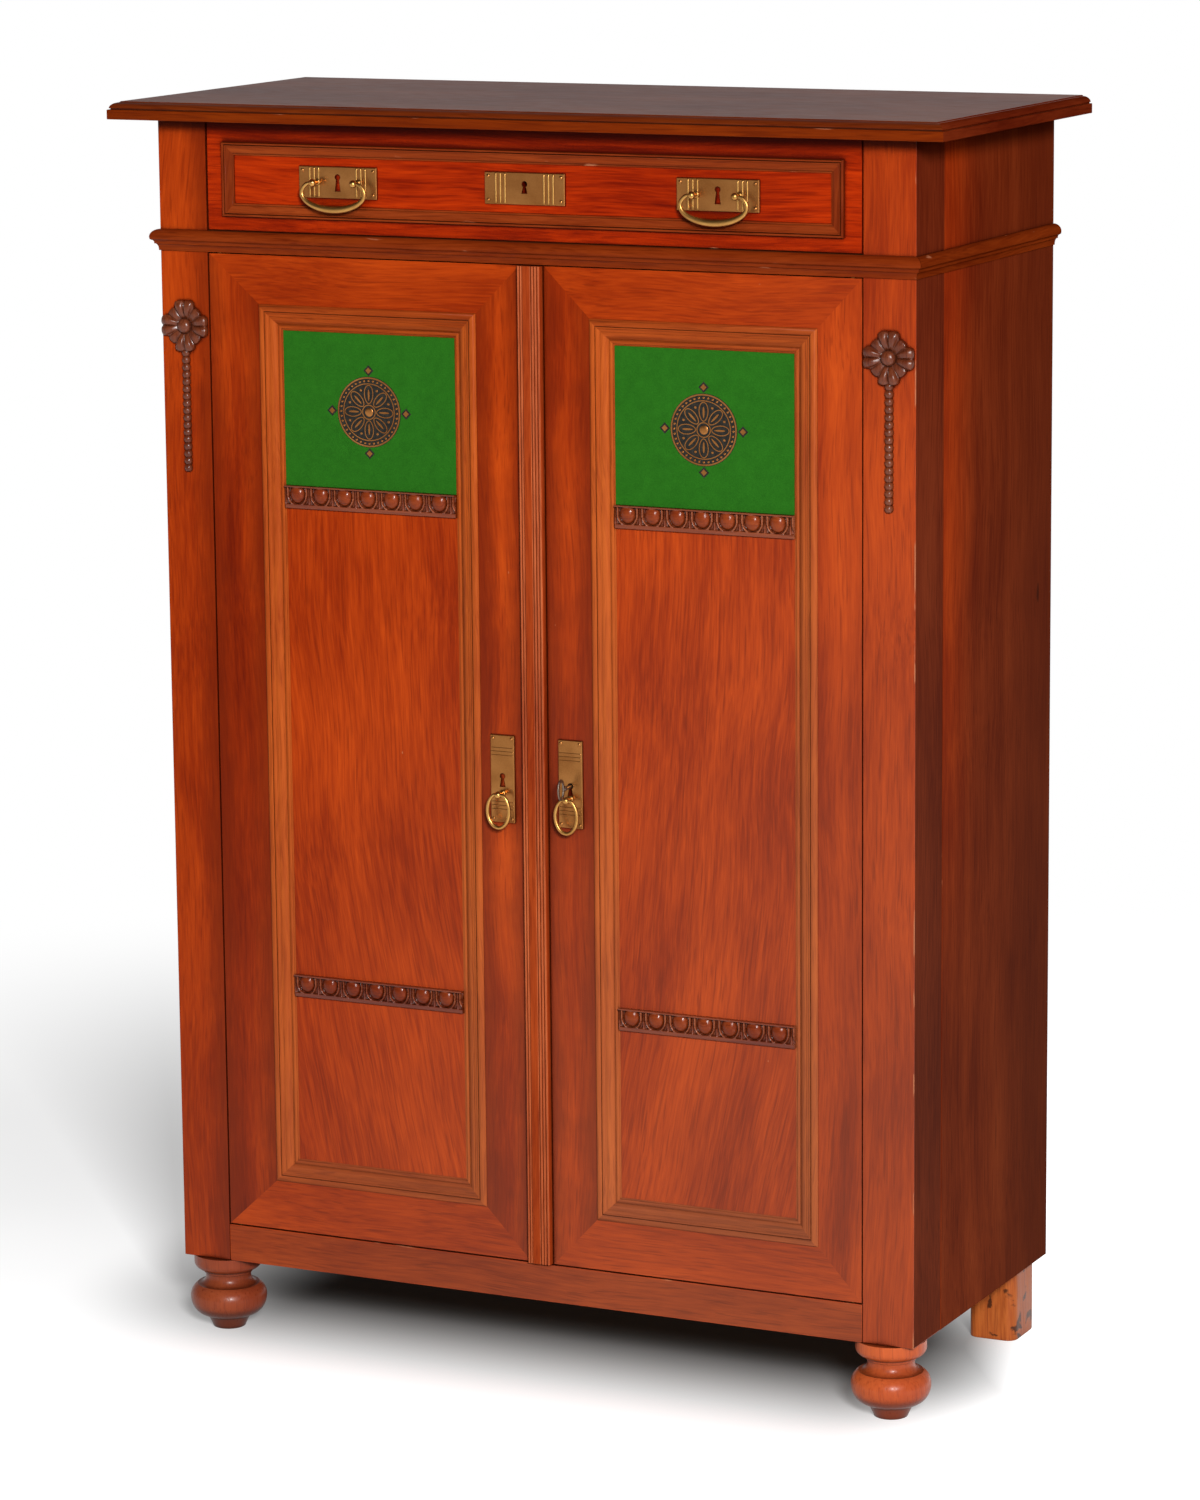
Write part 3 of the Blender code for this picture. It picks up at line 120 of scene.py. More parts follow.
WOODS = {
    "stile_wood": {**AGED_AND_SHADED, "tone": "veneer", "grain": "Z", "bands": 0.70, "lines": 0.62, "specks": 0.5},
    "post_wood": {**AGED_AND_SHADED, "tone": "veneer", "grain": "Z", "lines": 0.62, "specks": 0.5},
    "plinth_wood": {**AGED_AND_SHADED, "tone": "plinth", "grain": "X"},
    "rail_wood": {**AGED_AND_SHADED, "tone": "veneer", "grain": "X", "specks": 0.5},
    # On the rounded arrises the pale wear is partly real wear and partly a painted highlight
    "post_worn": {**AGED_AND_SHADED, "tone": "veneer", "grain": "Z", "wear": 0.5},
    "stile_worn": {**AGED_AND_SHADED, "tone": "veneer", "grain": "Z", "wear": 0.25},
    "veneer_across_worn": {**AGED_AND_SHADED, "tone": "veneer", "grain": "X", "wear": 0.4},
    "left_flame": {**FLAME, "bow": LEFT_BOW},
    "right_flame": {**FLAME, "bow": RIGHT_BOW},
    "drawer_wood": {
        "tone": "drawer", "grain": "X", "broad": 0.5, "bands": 0.4, "mottle": 0.34, "streaks": 0.60,
        "fibre": 0.50, "under": 0.92,
    },
    "drawer_wood_worn": {"tone": "drawer", "grain": "X", "under": 0.92, "wear": 0.25},
    "side_wood": {
        "tone": "side", "grain": "Z", "broad": 0.5, "bands": 0.45, "mottle": 0.20, "streaks": 0.26,
        "fibre": 0.26, "shine": 0.0, "knots": 0.9, "under": 0.75, "dust": 0.07, "rear_darkening": 0.5, "glow": 1.0,
    },
    "side_wood_worn": {"tone": "side", "grain": "Z", "wear": 0.1, "shine": 0.0},
    "post_side": {"tone": "post_side", "grain": "Z", "shine": 0.0, "under": 0.75, "dust": 0.09},
    "top_wood": {"tone": "top", "grain": "X", "rough": 0.40, "shine": 0.40, "specks": 0.4},
    "top_ovolo": {"tone": "top_ovolo", "grain": "X", "grime_and_shade": 0.8, "shine": 0.12},
    "top_band": {"tone": "top_band", "grain": "X"},
    "top_band_worn": {"tone": "top_band", "grain": "X", "wear": 0.45},
    "top_side": {"tone": "post_side", "grain": "Y", "shine": 0.0},
    "moulding_up": {**MOULDING, "tone": "moulding", "grain": "Z"},
    "moulding_across": {**MOULDING, "tone": "moulding_level", "grain": "X"},
    "strip_wood": {"tone": "strip", "grain": "Z", "bands": 0.10, "grime_and_shade": 0.5},
    "strip_rubbed": {"tone": "rubbed", "grain": "Z", "bands": 0.10},
    "drawer_moulding_up": {
        "tone": "drawer_moulding", "grain": "Z", "bands": 0.10, "grime_and_shade": 0.75, "wear": 0.1,
    },
    "drawer_moulding_across": {
        "tone": "drawer_moulding", "grain": "X", "bands": 0.10, "grime_and_shade": 0.75, "under": 0.8, "wear": 0.1,
    },
    "mid_moulding_across": {"tone": "mid_moulding", "grain": "X", "bands": 0.10, "grime_and_shade": 0.7, "wear": 0.1},
    "mid_moulding_deep": {
        "tone": "mid_moulding", "grain": "Y", "bands": 0.10, "grime_and_shade": 0.7, "wear": 0.15, "shine": 0.0,
    },
    "carved_wood_up": {"tone": "carved", "grain": "Z", "rough": 0.28, "grime_and_shade": 0.9, "shine": 0.34},
    "carved_wood_across": {"tone": "carved_rail", "grain": "X", "rough": 0.28, "grime_and_shade": 0.75, "shine": 0.35},
    "shell_wood": {"tone": "shell", "grain": "X", "rough": 0.26, "shine": 0.35},
    "egg_wood": {"tone": "egg", "grain": "X", "rough": 0.20, "grime_and_shade": 0.8, "reach": 0.004, "shine": 0.14},
    "left_turned": {**TURNED, "tone": "left_foot_shaded"},
    "right_turned": {**TURNED, "tone": "right_foot_lit"},
    "block_wood_up": {
        "tone": "block", "grain": "Z", "bands": 0.4, "rough": 0.42, "grime_and_shade": 0.4, "stain": 0.85, "shine": 0.2,
    },
    "pine_up": {**PINE, "grain": "Z"},
    "pine_across": {**PINE, "grain": "X", "under": 0.9},
    "pine_deep": {**PINE, "grain": "Y"},
}


def metres(name, description, default):
    """Length property, in metres."""
    return FloatProperty(name=name, description=description, default=default, unit="LENGTH", precision=4)


def tint(name, description, red, green, blue):
    """Colour property with its default in linear light."""
    return FloatVectorProperty(
        name=name, description=description, subtype="COLOR", min=0.0, max=1.0, default=(red, green, blue)
    )


class CabinetSizes(bpy.types.PropertyGroup):
    """Sizes of the dressing that a user would change."""

    arris: metres("Arris", "Rounding of the boards' long edges", 0.0011)
    fine_arris: metres("Fine arris", "Rounding of metal edges", 0.0003)
    bead_count: IntProperty(name="Beads", description="Beads in each drop under a rosette", default=17)
    egg_pitch: metres("Egg pitch", "Distance from one carved egg to the next", 0.030)
    roundel_radius: metres("Roundel", "Radius of the round ornament on the green cloth", 0.040)
    rib_pitch: metres("Rib pitch", "Distance between the ribs of a pull plate", 0.0056)
    nail_radius: metres("Nail", "Radius of the nail heads in the plates", 0.0021)
    keyhole_radius: metres("Keyhole", "Radius of a keyhole's round head", 0.0035)
    pull_keyhole: metres("Pull keyhole", "Height of the blind keyholes in the pulls", 0.0195)
    drawer_keyhole: metres("Drawer keyhole", "Height of the drawer's keyhole", 0.0140)
    door_keyhole: metres("Door keyhole", "Height of the doors' keyholes", 0.0160)


class CabinetFinishes(bpy.types.PropertyGroup):
    """Colours of the woods, metals and cloth."""

    veneer: tint("Veneer", "Posts and door frames", 0.325, 0.0320, 0.0022)
    plinth: tint("Plinth", "Rail over the feet", 0.255, 0.0300, 0.0040)
    panel: tint("Panels", "Door panels", 0.350, 0.0345, 0.0024)
    drawer: tint("Drawer", "Drawer front", 0.270, 0.0145, 0.0006)
    side: tint("Sides", "Side panels", 0.160, 0.0190, 0.0036)
    post_side: tint("Post sides", "Outer faces of the posts", 0.134, 0.0155, 0.0036)
    top: tint("Top", "Top board", 0.210, 0.050, 0.0250)
    top_ovolo: tint("Top ovolo", "Rounded upper edge of the top board", 0.105, 0.0135, 0.0012)
    top_band: tint("Top band", "Flat lower edge of the top board", 0.135, 0.0150, 0.0006)
    moulding: tint("Upright mouldings", "Mouldings up the door panels", 0.400, 0.0720, 0.0100)
    # Painted shade: the level mouldings are a darker copy of the upright ones
    moulding_level: tint("Level mouldings", "Mouldings across the door panels", 0.300, 0.0480, 0.0064)
    strip: tint("Meeting strip", "Reeded strip between the doors", 0.280, 0.036, 0.0060)
    # Painted highlight: this lighter colour lines the crests of the reeds
    rubbed: tint("Rubbed edges", "Edges of the reeds where the polish is rubbed", 0.360, 0.075, 0.0240)
    drawer_moulding: tint("Drawer moulding", "Moulding on the drawer front", 0.195, 0.0270, 0.0045)
    mid_moulding: tint("Mid moulding", "Moulding under the drawer", 0.165, 0.0200, 0.0024)
    carved: tint("Carving", "Rosettes and beads", 0.115, 0.0235, 0.0075)
    carved_rail: tint("Egg rails", "Ground of the carved rails on the doors", 0.165, 0.0290, 0.0080)
    # Painted highlight: the rims round the eggs are a lighter copy of the carving
    shell: tint("Egg shells", "Rims round the eggs of the carved rails", 0.240, 0.0620, 0.0260)
    egg: tint("Eggs", "Eggs of the carved rails", 0.190, 0.0290, 0.0060)
    # Painted light and shade: the left foot's tone is darker, as shade, and the right foot's lighter, as lit
    # from the right
    left_foot_shaded: tint("Left foot", "Turned foot on the left", 0.270, 0.052, 0.0165)
    right_foot_lit: tint("Right foot", "Turned foot on the right", 0.500, 0.092, 0.0225)
    block: tint("Blocks", "Plain rear feet", 0.370, 0.084, 0.0150)
    pine: tint("Pine", "Boards inside and behind", 0.450, 0.225, 0.0900)
    bare: tint("Bare wood", "Wood that shows where the polish has worn off", 0.440, 0.155, 0.0720)
    film: tint("Dust", "Dull film that thickens towards the lower right", 0.130, 0.150, 0.1100)
    cloth: tint("Green cloth", "Fields at the top of the doors", 0.017, 0.122, 0.0070)
    lacquer: tint("Black", "Ground of the round ornament", 0.010, 0.009, 0.0070)
    brass: tint("Brass", "Plates and hinges", 0.370, 0.152, 0.0420)
    bright_brass: tint("Rubbed brass", "Bails, rings and ribs", 0.480, 0.250, 0.0700)
    steel: tint("Steel", "Key, locks and bolts", 0.180, 0.140, 0.1080)


class StudioSettings(bpy.types.PropertyGroup):
    """Camera, lamp and floor."""

    lens: FloatProperty(name="Lens", description="Focal length", default=128.18, unit="CAMERA")
    place: FloatVectorProperty(
        name="Camera",
        description="Where the camera stands",
        subtype="TRANSLATION",
        default=(2.6057, -5.4405, 1.8585),
    )
    azimuth: FloatProperty(
        name="Azimuth",
        description="Camera's turn round the cabinet",
        subtype="ANGLE",
        default=radians(25.6303),
    )
    elevation: FloatProperty(
        name="Elevation",
        description="Camera's angle above the horizon",
        subtype="ANGLE",
        default=radians(10.9061),
    )
    roll: FloatProperty(name="Roll", description="Camera's tilt", subtype="ANGLE", default=radians(-0.51))
    key_place: FloatVectorProperty(
        name="Key lamp",
        description="Middle of the large soft box",
        subtype="TRANSLATION",
        default=(4.8, -7.4, 3.9),
    )
    key_size: metres("Key size", "Side of the large soft box", 1.5)
    key_power: FloatProperty(
        name="Key power", description="Power of the large soft box", default=1020.0, unit="POWER"
    )
    sky_low: FloatProperty(name="Horizon", description="Level of the even light at the horizon", default=0.56)
    sky_high: FloatProperty(name="Zenith", description="Level of the even light overhead", default=0.14)
    sky_front: FloatProperty(
        name="Sky in front", description="Share of the even light on the front", default=0.4
    )
    floor_reach: metres("Floor", "Half the floor's width", 80.0)
    # floor_lift's glow also paints light and shade on the floor; lift_reach is how far the painted shadow
    # round the cabinet fades
    floor_lift: FloatProperty(
        name="Floor lift", description="Glow that brings the lit floor to white", default=0.56
    )
    lift_reach: metres("Lift reach", "Distance from the shade over which the glow rises", 0.34)
    white_start: metres("White from", "Distance where the floor starts to fade to white", 0.9)
    white_end: metres("White at", "Distance where the floor is all white", 2.4)


# Shader nodes


def node(tree, kind, wires=None, **settings):
    """Shader node; wires maps an input's name or place to a value or to another node's output."""
    made = tree.nodes.new("ShaderNode" + kind)
    for key, value in settings.items():
        setattr(made, key, value)
    for key, value in (wires or {}).items():
        if isinstance(value, bpy.types.NodeSocket):
            tree.links.new(value, made.inputs[key])
        else:
            made.inputs[key].default_value = value
    return made


def sums(tree, operation, *values):
    """Output of a Math node."""
    return node(tree, "Math", dict(enumerate(values)), operation=operation).outputs[0]


def vectors(tree, operation, *values):
    """Output of a Vector Math node that gives a vector."""
    return node(tree, "VectorMath", dict(enumerate(values)), operation=operation).outputs[0]


def ramp(tree, factor, stops):
    """Output of a colour ramp with (place, colour) stops."""
    made = node(tree, "ValToRGB", {"Fac": factor})
    elements = made.color_ramp.elements
    while len(elements) < len(stops):
        elements.new(0.5)
    for element, (place, colour) in zip(elements, stops):
        element.position = place
        element.color = colour
    return made.outputs["Color"]


def between(tree, value, low, high, to_low=0.0, to_high=1.0):
    """Output of a smooth Map Range node."""
    wires = {"Value": value, "From Min": low, "From Max": high, "To Min": to_low, "To Max": to_high}
    return node(tree, "MapRange", wires, interpolation_type="SMOOTHSTEP").outputs[0]


def mixed(tree, factor, first, second, blend="MIX"):
    """Output of a colour Mix node."""
    wires = {0: factor, 6: first, 7: second}
    return node(tree, "Mix", wires, data_type="RGBA", blend_type=blend).outputs[2]


def noise(tree, place, scale, detail, distortion=0.0):
    """Output of a noise texture."""
    wires = {"Vector": place, "Scale": scale, "Detail": detail, "Distortion": distortion}
    return node(tree, "TexNoise", wires).outputs[0]


def stretched(tree, place, grain, along):
    """Coordinates drawn out along the grain."""
    factors = [1.0, 1.0, 1.0]
    factors["XYZ".index(grain)] = along
    return vectors(tree, "MULTIPLY", place, factors)


def shade(colour, red, green, blue):
    """A colour with each channel scaled, as an RGBA tuple."""
    return (min(1.0, colour[0] * red), min(1.0, colour[1] * green), min(1.0, colour[2] * blue), 1.0)


def fresh_material(name):
    """New node material, its tree and its Principled shader."""
    material = bpy.data.materials.new(name)
    material.use_nodes = True
    tree = material.node_tree
    return material, tree, tree.nodes["Principled BSDF"]


def swayed(tree, place, scale, reach):
    """Coordinates pushed about by slow noise."""
    push = node(tree, "TexNoise", {"Vector": place, "Scale": scale, "Detail": 1.0}).outputs["Color"]
    push = vectors(tree, "SUBTRACT", push, (0.5, 0.5, 0.5))
    push = node(tree, "VectorMath", {0: push, "Scale": reach}, operation="SCALE").outputs[0]
    return vectors(tree, "ADD", place, push)


def bowed(tree, place, bow):
    """Coordinates in which straight grain bends to one side, more and more below and above a level."""
    bend, level = bow
    parts = node(tree, "SeparateXYZ", {0: place}).outputs
    drop = sums(tree, "SUBTRACT", parts["Z"], level)
    shift = sums(tree, "MULTIPLY", sums(tree, "MULTIPLY", drop, drop), -bend)
    across = sums(tree, "ADD", parts["X"], shift)
    return node(tree, "CombineXYZ", {0: across, 1: parts["Y"], 2: parts["Z"]}).outputs[0]


def near_lines(tree, place, lines, wide):
    """Closeness to the nearest of some upright lines, from 1 on a line to 0 away from it."""
    across = node(tree, "SeparateXYZ", {0: place}).outputs["X"]
    nearest = sums(tree, "ABSOLUTE", sums(tree, "SUBTRACT", across, lines[0]))
    for line in lines[1:]:
        nearest = sums(tree, "MINIMUM", nearest, sums(tree, "ABSOLUTE", sums(tree, "SUBTRACT", across, line)))
    ragged = sums(tree, "MULTIPLY_ADD", noise(tree, place, 24.0, 3.0), 0.030, -0.015)
    return between(tree, sums(tree, "ADD", nearest, ragged), 0.0, wide, 1.0, 0.0)


def marks(tree, place, scale, radius, share):
    """Small scattered marks, each with a size in metres, in a share of the cells they could be in."""
    cells = node(tree, "TexVoronoi", {"Vector": place, "Scale": scale, "Randomness": 1.0})
    spot = between(tree, cells.outputs["Distance"], radius * scale * 0.5, radius * scale, 1.0, 0.0)
    pick = node(tree, "SeparateXYZ", {0: cells.outputs["Color"]}).outputs["X"]
    return sums(tree, "MULTIPLY", spot, sums(tree, "LESS_THAN", pick, share))


def bumped(tree, shader, height, strength, distance):
    """Let a height raise and sink the surface of a shader."""
    bump = node(tree, "Bump", {"Height": height, "Strength": strength, "Distance": distance})
    tree.links.new(bump.outputs[0], shader.inputs["Normal"])


def wood(
    name, tone, grain, bow=None, broad=0.50, bands=0.20, mottle=0.17, streaks=0.26, fibre=0.28, rough=0.34,
    shine=0.05, grime_and_shade=0.0, reach=0.006, under=0.0, lines=0.0, wear=0.0, stain=0.0, dust=0.0, knots=0.0,
    specks=0.0, rear_darkening=0.0, glow=0.0,
):
    """Polished wood: figure from slow changes of tone down to fibres and pores, then age, painted shade and
    sheen.
    """
    finishes = bpy.context.scene.cabinet_finishes
    colour = getattr(finishes, tone)
    material, tree, shader = fresh_material(name)
    plain = node(tree, "TexCoord").outputs["Object"]
    place = swayed(tree, plain, scale=3.2, reach=0.04)
    if bow:
        place = bowed(tree, place, bow)
    # Strength, stretch along the grain, scale and detail of each layer of the figure
    figure = ((broad, 0.50, 7.0, 1.0), (bands, 0.04, 24.0, 1.0), (mottle, 0.34, 34.0, 2.0))
    figure += ((streaks, 0.05, 200.0, 2.0), (fibre, 0.06, 520.0, 2.0))
    depth = 0.5 - sum(layer[0] for layer in figure) / 2
    for strength, along, scale, detail in figure:
        layer = noise(tree, stretched(tree, place, grain, along), scale, detail)
        depth = sums(tree, "MULTIPLY_ADD", layer, strength, depth)
    pores = noise(tree, stretched(tree, place, grain, along=0.028), scale=430.0, detail=1.0)
    pores = between(tree, pores, 0.56, 0.70)
    stops = (
        (0.20, shade(colour, 0.42, 0.26, 0.30)),
        (0.40, shade(colour, 0.78, 0.66, 0.70)),
        (0.50, shade(colour, 1.00, 1.00, 1.00)),
        (0.62, shade(colour, 1.26, 1.40, 1.42)),
        (0.80, shade(colour, 1.62, 2.10, 2.20)),
    )
    surface = ramp(tree, depth, stops)
    surface = mixed(tree, sums(tree, "MULTIPLY", pores, 0.42), surface, shade(colour, 0.48, 0.36, 0.40))
    if lines:
        veil = sums(tree, "MULTIPLY", near_lines(tree, plain, DARK_LINES, wide=0.031), lines)
        surface = mixed(tree, veil, surface, shade(colour, 0.42, 0.36, 0.60))
    if knots:
        ragged = swayed(tree, stretched(tree, plain, grain, along=0.45), scale=60.0, reach=0.020)
        spots = marks(tree, ragged, scale=11.0, radius=0.0075, share=0.32)
        spots = sums(tree, "MULTIPLY", spots, knots)
        surface = mixed(tree, spots, surface, shade(colour, 0.10, 0.14, 0.30))
    if stain:
        blots = noise(tree, plain, scale=38.0, detail=4.0, distortion=0.6)
        blots = between(tree, blots, 0.55, 0.61, 0.0, stain)
        surface = mixed(tree, blots, surface, shade(colour, 0.05, 0.06, 0.12))
    if rear_darkening:
        # Darker towards the back of the panel
        back = node(tree, "SeparateXYZ", {0: place}).outputs["Y"]
        darker_back = between(tree, back, -0.04, 0.20, 0.0, rear_darkening)
        surface = mixed(tree, darker_back, surface, shade(colour, 0.50, 0.55, 0.80))
    if glow:
        # Painted sheen: lighter along the side panel's front edge, most of all in its upper half
        spread = node(tree, "SeparateXYZ", {0: place}).outputs
        edge = between(tree, spread["Y"], SIDE_FRONT, SIDE_FRONT + 0.15, 1.0, 0.0)
        upper = between(tree, spread["Z"], 0.35, 1.00, 0.0, glow)
        edge = sums(tree, "MULTIPLY", sums(tree, "MULTIPLY", edge, edge), upper)
        surface = mixed(tree, edge, surface, (2.2, 1.9, 0.95, 1.0), "MULTIPLY")
    if dust:
        parts = node(tree, "SeparateXYZ", {0: plain}).outputs
        level = sums(tree, "SUBTRACT", parts["Z"], parts["X"])
        surface = mixed(tree, between(tree, level, 1.25, -0.25, 0.0, dust), surface, (*finishes.film, 1.0))
    if grime_and_shade:
        # Hollows within reach are darkened, partly as dirt and partly as painted shade
        hollow = node(tree, "AmbientOcclusion", {"Distance": reach}, samples=6).outputs["AO"]
        hollow = between(tree, hollow, 0.25, 0.95, grime_and_shade, 0.0)
        surface = mixed(tree, hollow, surface, shade(colour, 0.14, 0.11, 0.12))
    if under:
        # Painted shade: wood under an overhang or a ledge is darkened as if in its cast shadow
        painted_overhang_shade = node(tree, "AmbientOcclusion", {"Distance": 0.045}, samples=8).outputs["AO"]
        painted_overhang_shade = between(tree, painted_overhang_shade, 0.60, 0.80, under, 0.0)
        surface = mixed(tree, painted_overhang_shade, surface, shade(colour, 0.16, 0.12, 0.10))
    if specks:
        scratched = stretched(tree, plain, grain, along=0.5)
        spots = marks(tree, scratched, scale=36.0, radius=0.0009, share=0.30)
        spots = sums(tree, "MULTIPLY", spots, specks)
        surface = mixed(tree, spots, surface, (*finishes.bare, 1.0))
    if wear:
        # Pale worn spots; on rounded arrises they also stand for a painted highlight
        spots = noise(tree, stretched(tree, plain, grain, along=0.25), scale=90.0, detail=5.0)
        spots = between(tree, spots, 0.70 - 0.26 * wear, 0.78 - 0.26 * wear, 0.0, 0.75)
        surface = mixed(tree, spots, surface, (*finishes.bare, 1.0))
    tree.links.new(surface, shader.inputs["Base Color"])
    tree.links.new(between(tree, layer, 0.3, 0.7, rough - 0.05, rough + 0.07), shader.inputs["Roughness"])
    shader.inputs["Specular IOR Level"].default_value = shine
    height = sums(tree, "MULTIPLY_ADD", pores, -0.7, sums(tree, "MULTIPLY", layer, 0.5))
    bumped(tree, shader, height, strength=0.25, distance=0.0003)
    return material


def metal(name, tone, rough, tarnish):
    """Aged metal: cloudy tarnish, fine scratches and darker tarnish in the hollows."""
    colour = getattr(bpy.context.scene.cabinet_finishes, tone)
    material, tree, shader = fresh_material(name)
    place = node(tree, "TexCoord").outputs["Object"]
    cloud = noise(tree, place, 26.0, 3.0, 0.3)
    speck = noise(tree, place, 700.0, 3.0)
    depth = sums(tree, "MULTIPLY_ADD", speck, 0.30, sums(tree, "MULTIPLY", cloud, 0.70))
    stops = (
        (0.34, shade(colour, 0.74, 0.68, 0.62)),
        (0.50, shade(colour, 0.98, 0.97, 0.96)),
        (0.68, shade(colour, 1.18, 1.22, 1.28)),
    )
    surface = ramp(tree, depth, stops)
    hollow = node(tree, "AmbientOcclusion", {"Distance": 0.003}, samples=6).outputs["AO"]
    hollow = between(tree, hollow, 0.30, 0.95, tarnish, 0.0)
    surface = mixed(tree, hollow, surface, shade(colour, 0.16, 0.12, 0.10))
    tree.links.new(surface, shader.inputs["Base Color"])
    tree.links.new(between(tree, cloud, 0.3, 0.7, rough + 0.10, rough - 0.06), shader.inputs["Roughness"])
    shader.inputs["Metallic"].default_value = 1.0
    scratches = noise(tree, stretched(tree, place, "X", 0.05), 1400.0, 1.0)
    bumped(tree, shader, scratches, strength=0.12, distance=0.0001)
    return material


def green_cloth():
    """Matt felted cloth: mottled tone, fine pile and a little sheen."""
    colour = bpy.context.scene.cabinet_finishes.cloth
    material, tree, shader = fresh_material("green_cloth")
    place = node(tree, "TexCoord").outputs["Object"]
    mottle = noise(tree, place, 90.0, 5.0)
    pile = noise(tree, place, 1300.0, 2.0)
    depth = sums(tree, "MULTIPLY_ADD", pile, 0.70, sums(tree, "MULTIPLY", mottle, 0.30))
    stops = (
        (0.32, shade(colour, 0.72, 0.76, 0.75)),
        (0.52, shade(colour, 1.00, 1.00, 1.00)),
        (0.72, shade(colour, 1.32, 1.24, 1.30)),
    )
    tree.links.new(ramp(tree, depth, stops), shader.inputs["Base Color"])
    shader.inputs["Roughness"].default_value = 0.92
    shader.inputs["Specular IOR Level"].default_value = 0.08
    bumped(tree, shader, pile, strength=0.5, distance=0.0004)
    return material


def black_lacquer():
    """Dark ground of the round ornament, a little rubbed."""
    colour = bpy.context.scene.cabinet_finishes.lacquer
    material, tree, shader = fresh_material("black_lacquer")
    place = node(tree, "TexCoord").outputs["Object"]
    rubbed = noise(tree, place, 240.0, 4.0)
    stops = ((0.40, shade(colour, 0.7, 0.7, 0.7)), (0.70, shade(colour, 2.2, 2.0, 1.8)))
    tree.links.new(ramp(tree, rubbed, stops), shader.inputs["Base Color"])
    tree.links.new(between(tree, rubbed, 0.3, 0.7, 0.40, 0.62), shader.inputs["Roughness"])
    shader.inputs["Specular IOR Level"].default_value = 0.25
    return material


def finish(name):
    """Material by its name, made on first use."""
    made = bpy.data.materials.get(name)
    if made:
        return made
    if name in WOODS:
        return wood(name, **WOODS[name])
    makers = {
        "aged_brass": lambda: metal("aged_brass", "brass", rough=0.36, tarnish=0.75),
        "rubbed_brass": lambda: metal("rubbed_brass", "bright_brass", rough=0.34, tarnish=0.75),
        "grey_steel": lambda: metal("grey_steel", "steel", rough=0.46, tarnish=0.6),
        "green_cloth": green_cloth,
        "black_lacquer": black_lacquer,
    }
    return makers[name]()


# Meshes


def add_piece(name, bm, body, finishes, replaced=(), angle=35.0):
    """Object from a mesh drawn in place, with its finishes, riding on a body and standing for CAD nodes."""
    if not bm.faces:
        raise RuntimeError(f"{name} came out empty")
    bmesh.ops.recalc_face_normals(bm, faces=bm.faces)
    mesh = bpy.data.meshes.new(name)
    bm.to_mesh(mesh)
    bm.free()
    mesh.shade_smooth()
    mesh.set_sharp_from_angle(angle=radians(angle))
    for material in finishes:
        mesh.materials.append(finish(material))
    piece = bpy.data.objects.new(name, mesh)
    bpy.context.scene.collection.objects.link(piece)
    weigh = piece.modifiers.new("flat faces first", "WEIGHTED_NORMAL")
    weigh.keep_sharp = True
    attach(piece, body)
    if replaced:
        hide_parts(*replaced)
    return piece


def dress(name, bm, body, finishes, angle=35.0):
    """Piece that stands for one CAD node."""
    return add_piece(f"{name}_dressed", bm, body, finishes, (name,), angle)


def absorb(bm, part, slot=0):
    """Add one mesh to another; the added faces take a material slot."""
    bmesh.ops.recalc_face_normals(part, faces=part.faces)
    for face in part.faces:
        face.material_index = slot
    mesh = bpy.data.meshes.new("part")
    part.to_mesh(mesh)
    part.free()
    bm.from_mesh(mesh)
    bpy.data.meshes.remove(mesh)


def node_mesh(name):
    """Welded copy of a CAD node, its flat areas in single faces."""
    source = frame["nodes"][name].data
    bm = bmesh.new()
    points = [bm.verts.new(vertex.co) for vertex in source.vertices]
    for polygon in source.polygons:
        bm.faces.new([points[index] for index in polygon.vertices])
    bmesh.ops.remove_doubles(bm, verts=bm.verts, dist=WELD)
    bmesh.ops.dissolve_limit(bm, angle_limit=radians(0.6), verts=bm.verts, edges=bm.edges)
    return bm


def ease(bm, arris, shortest, slot):
    """Round over the long sharp edges; the rounded faces take a material slot of their own."""
    edges = []
    for edge in bm.edges:
        if len(edge.link_faces) == 2 and edge.calc_length() > shortest and edge.calc_face_angle() > 0.7:
            edges.append(edge)
    bmesh.ops.bevel(
        bm, geom=edges, offset=arris, segments=2, profile=0.5, affect="EDGES", clamp_overlap=True,
        material=slot,
    )


def board(name, body, finishes, arris, shortest=0.03, second=None):
    """Piece that keeps a CAD board's shape, with its arrises rounded and worn in the last finish, whose pale
    wear is also a painted highlight.

    Faces whose normals second says yes to take the second finish."""
    bm = node_mesh(name)
    bmesh.ops.recalc_face_normals(bm, faces=bm.faces)
    bm.normal_update()
    for face in bm.faces:
        if second and second(face.normal):
            face.material_index = 1
    ease(bm, arris, shortest, slot=len(finishes) - 1)
    return dress(name, bm, body, finishes)


def skin(bm, rings, around=True, along=False):
    """Faces between rings of points; around closes each ring, along closes the row of rings."""
    rings = [[bm.verts.new(point) for point in ring] for ring in rings]
    count = len(rings[0])
    faces = []
    for i in range(len(rings) if along else len(rings) - 1):
        near = rings[i]
        far = rings[(i + 1) % len(rings)]
        for j in range(count if around else count - 1):
            k = (j + 1) % count
            faces.append(bm.faces.new((near[j], near[k], far[k], far[j])))
    return rings, faces


def lofted(rings):
    """Closed solid through rings of points, with flat ends."""
    bm = bmesh.new()
    rings, _ = skin(bm, rings)
    bm.faces.new(rings[0])
    bm.faces.new(rings[-1])
    return bm


def looped(rings):
    """Closed solid through rings of points that come back to the first."""
    bm = bmesh.new()
    skin(bm, rings, along=True)
    return bm


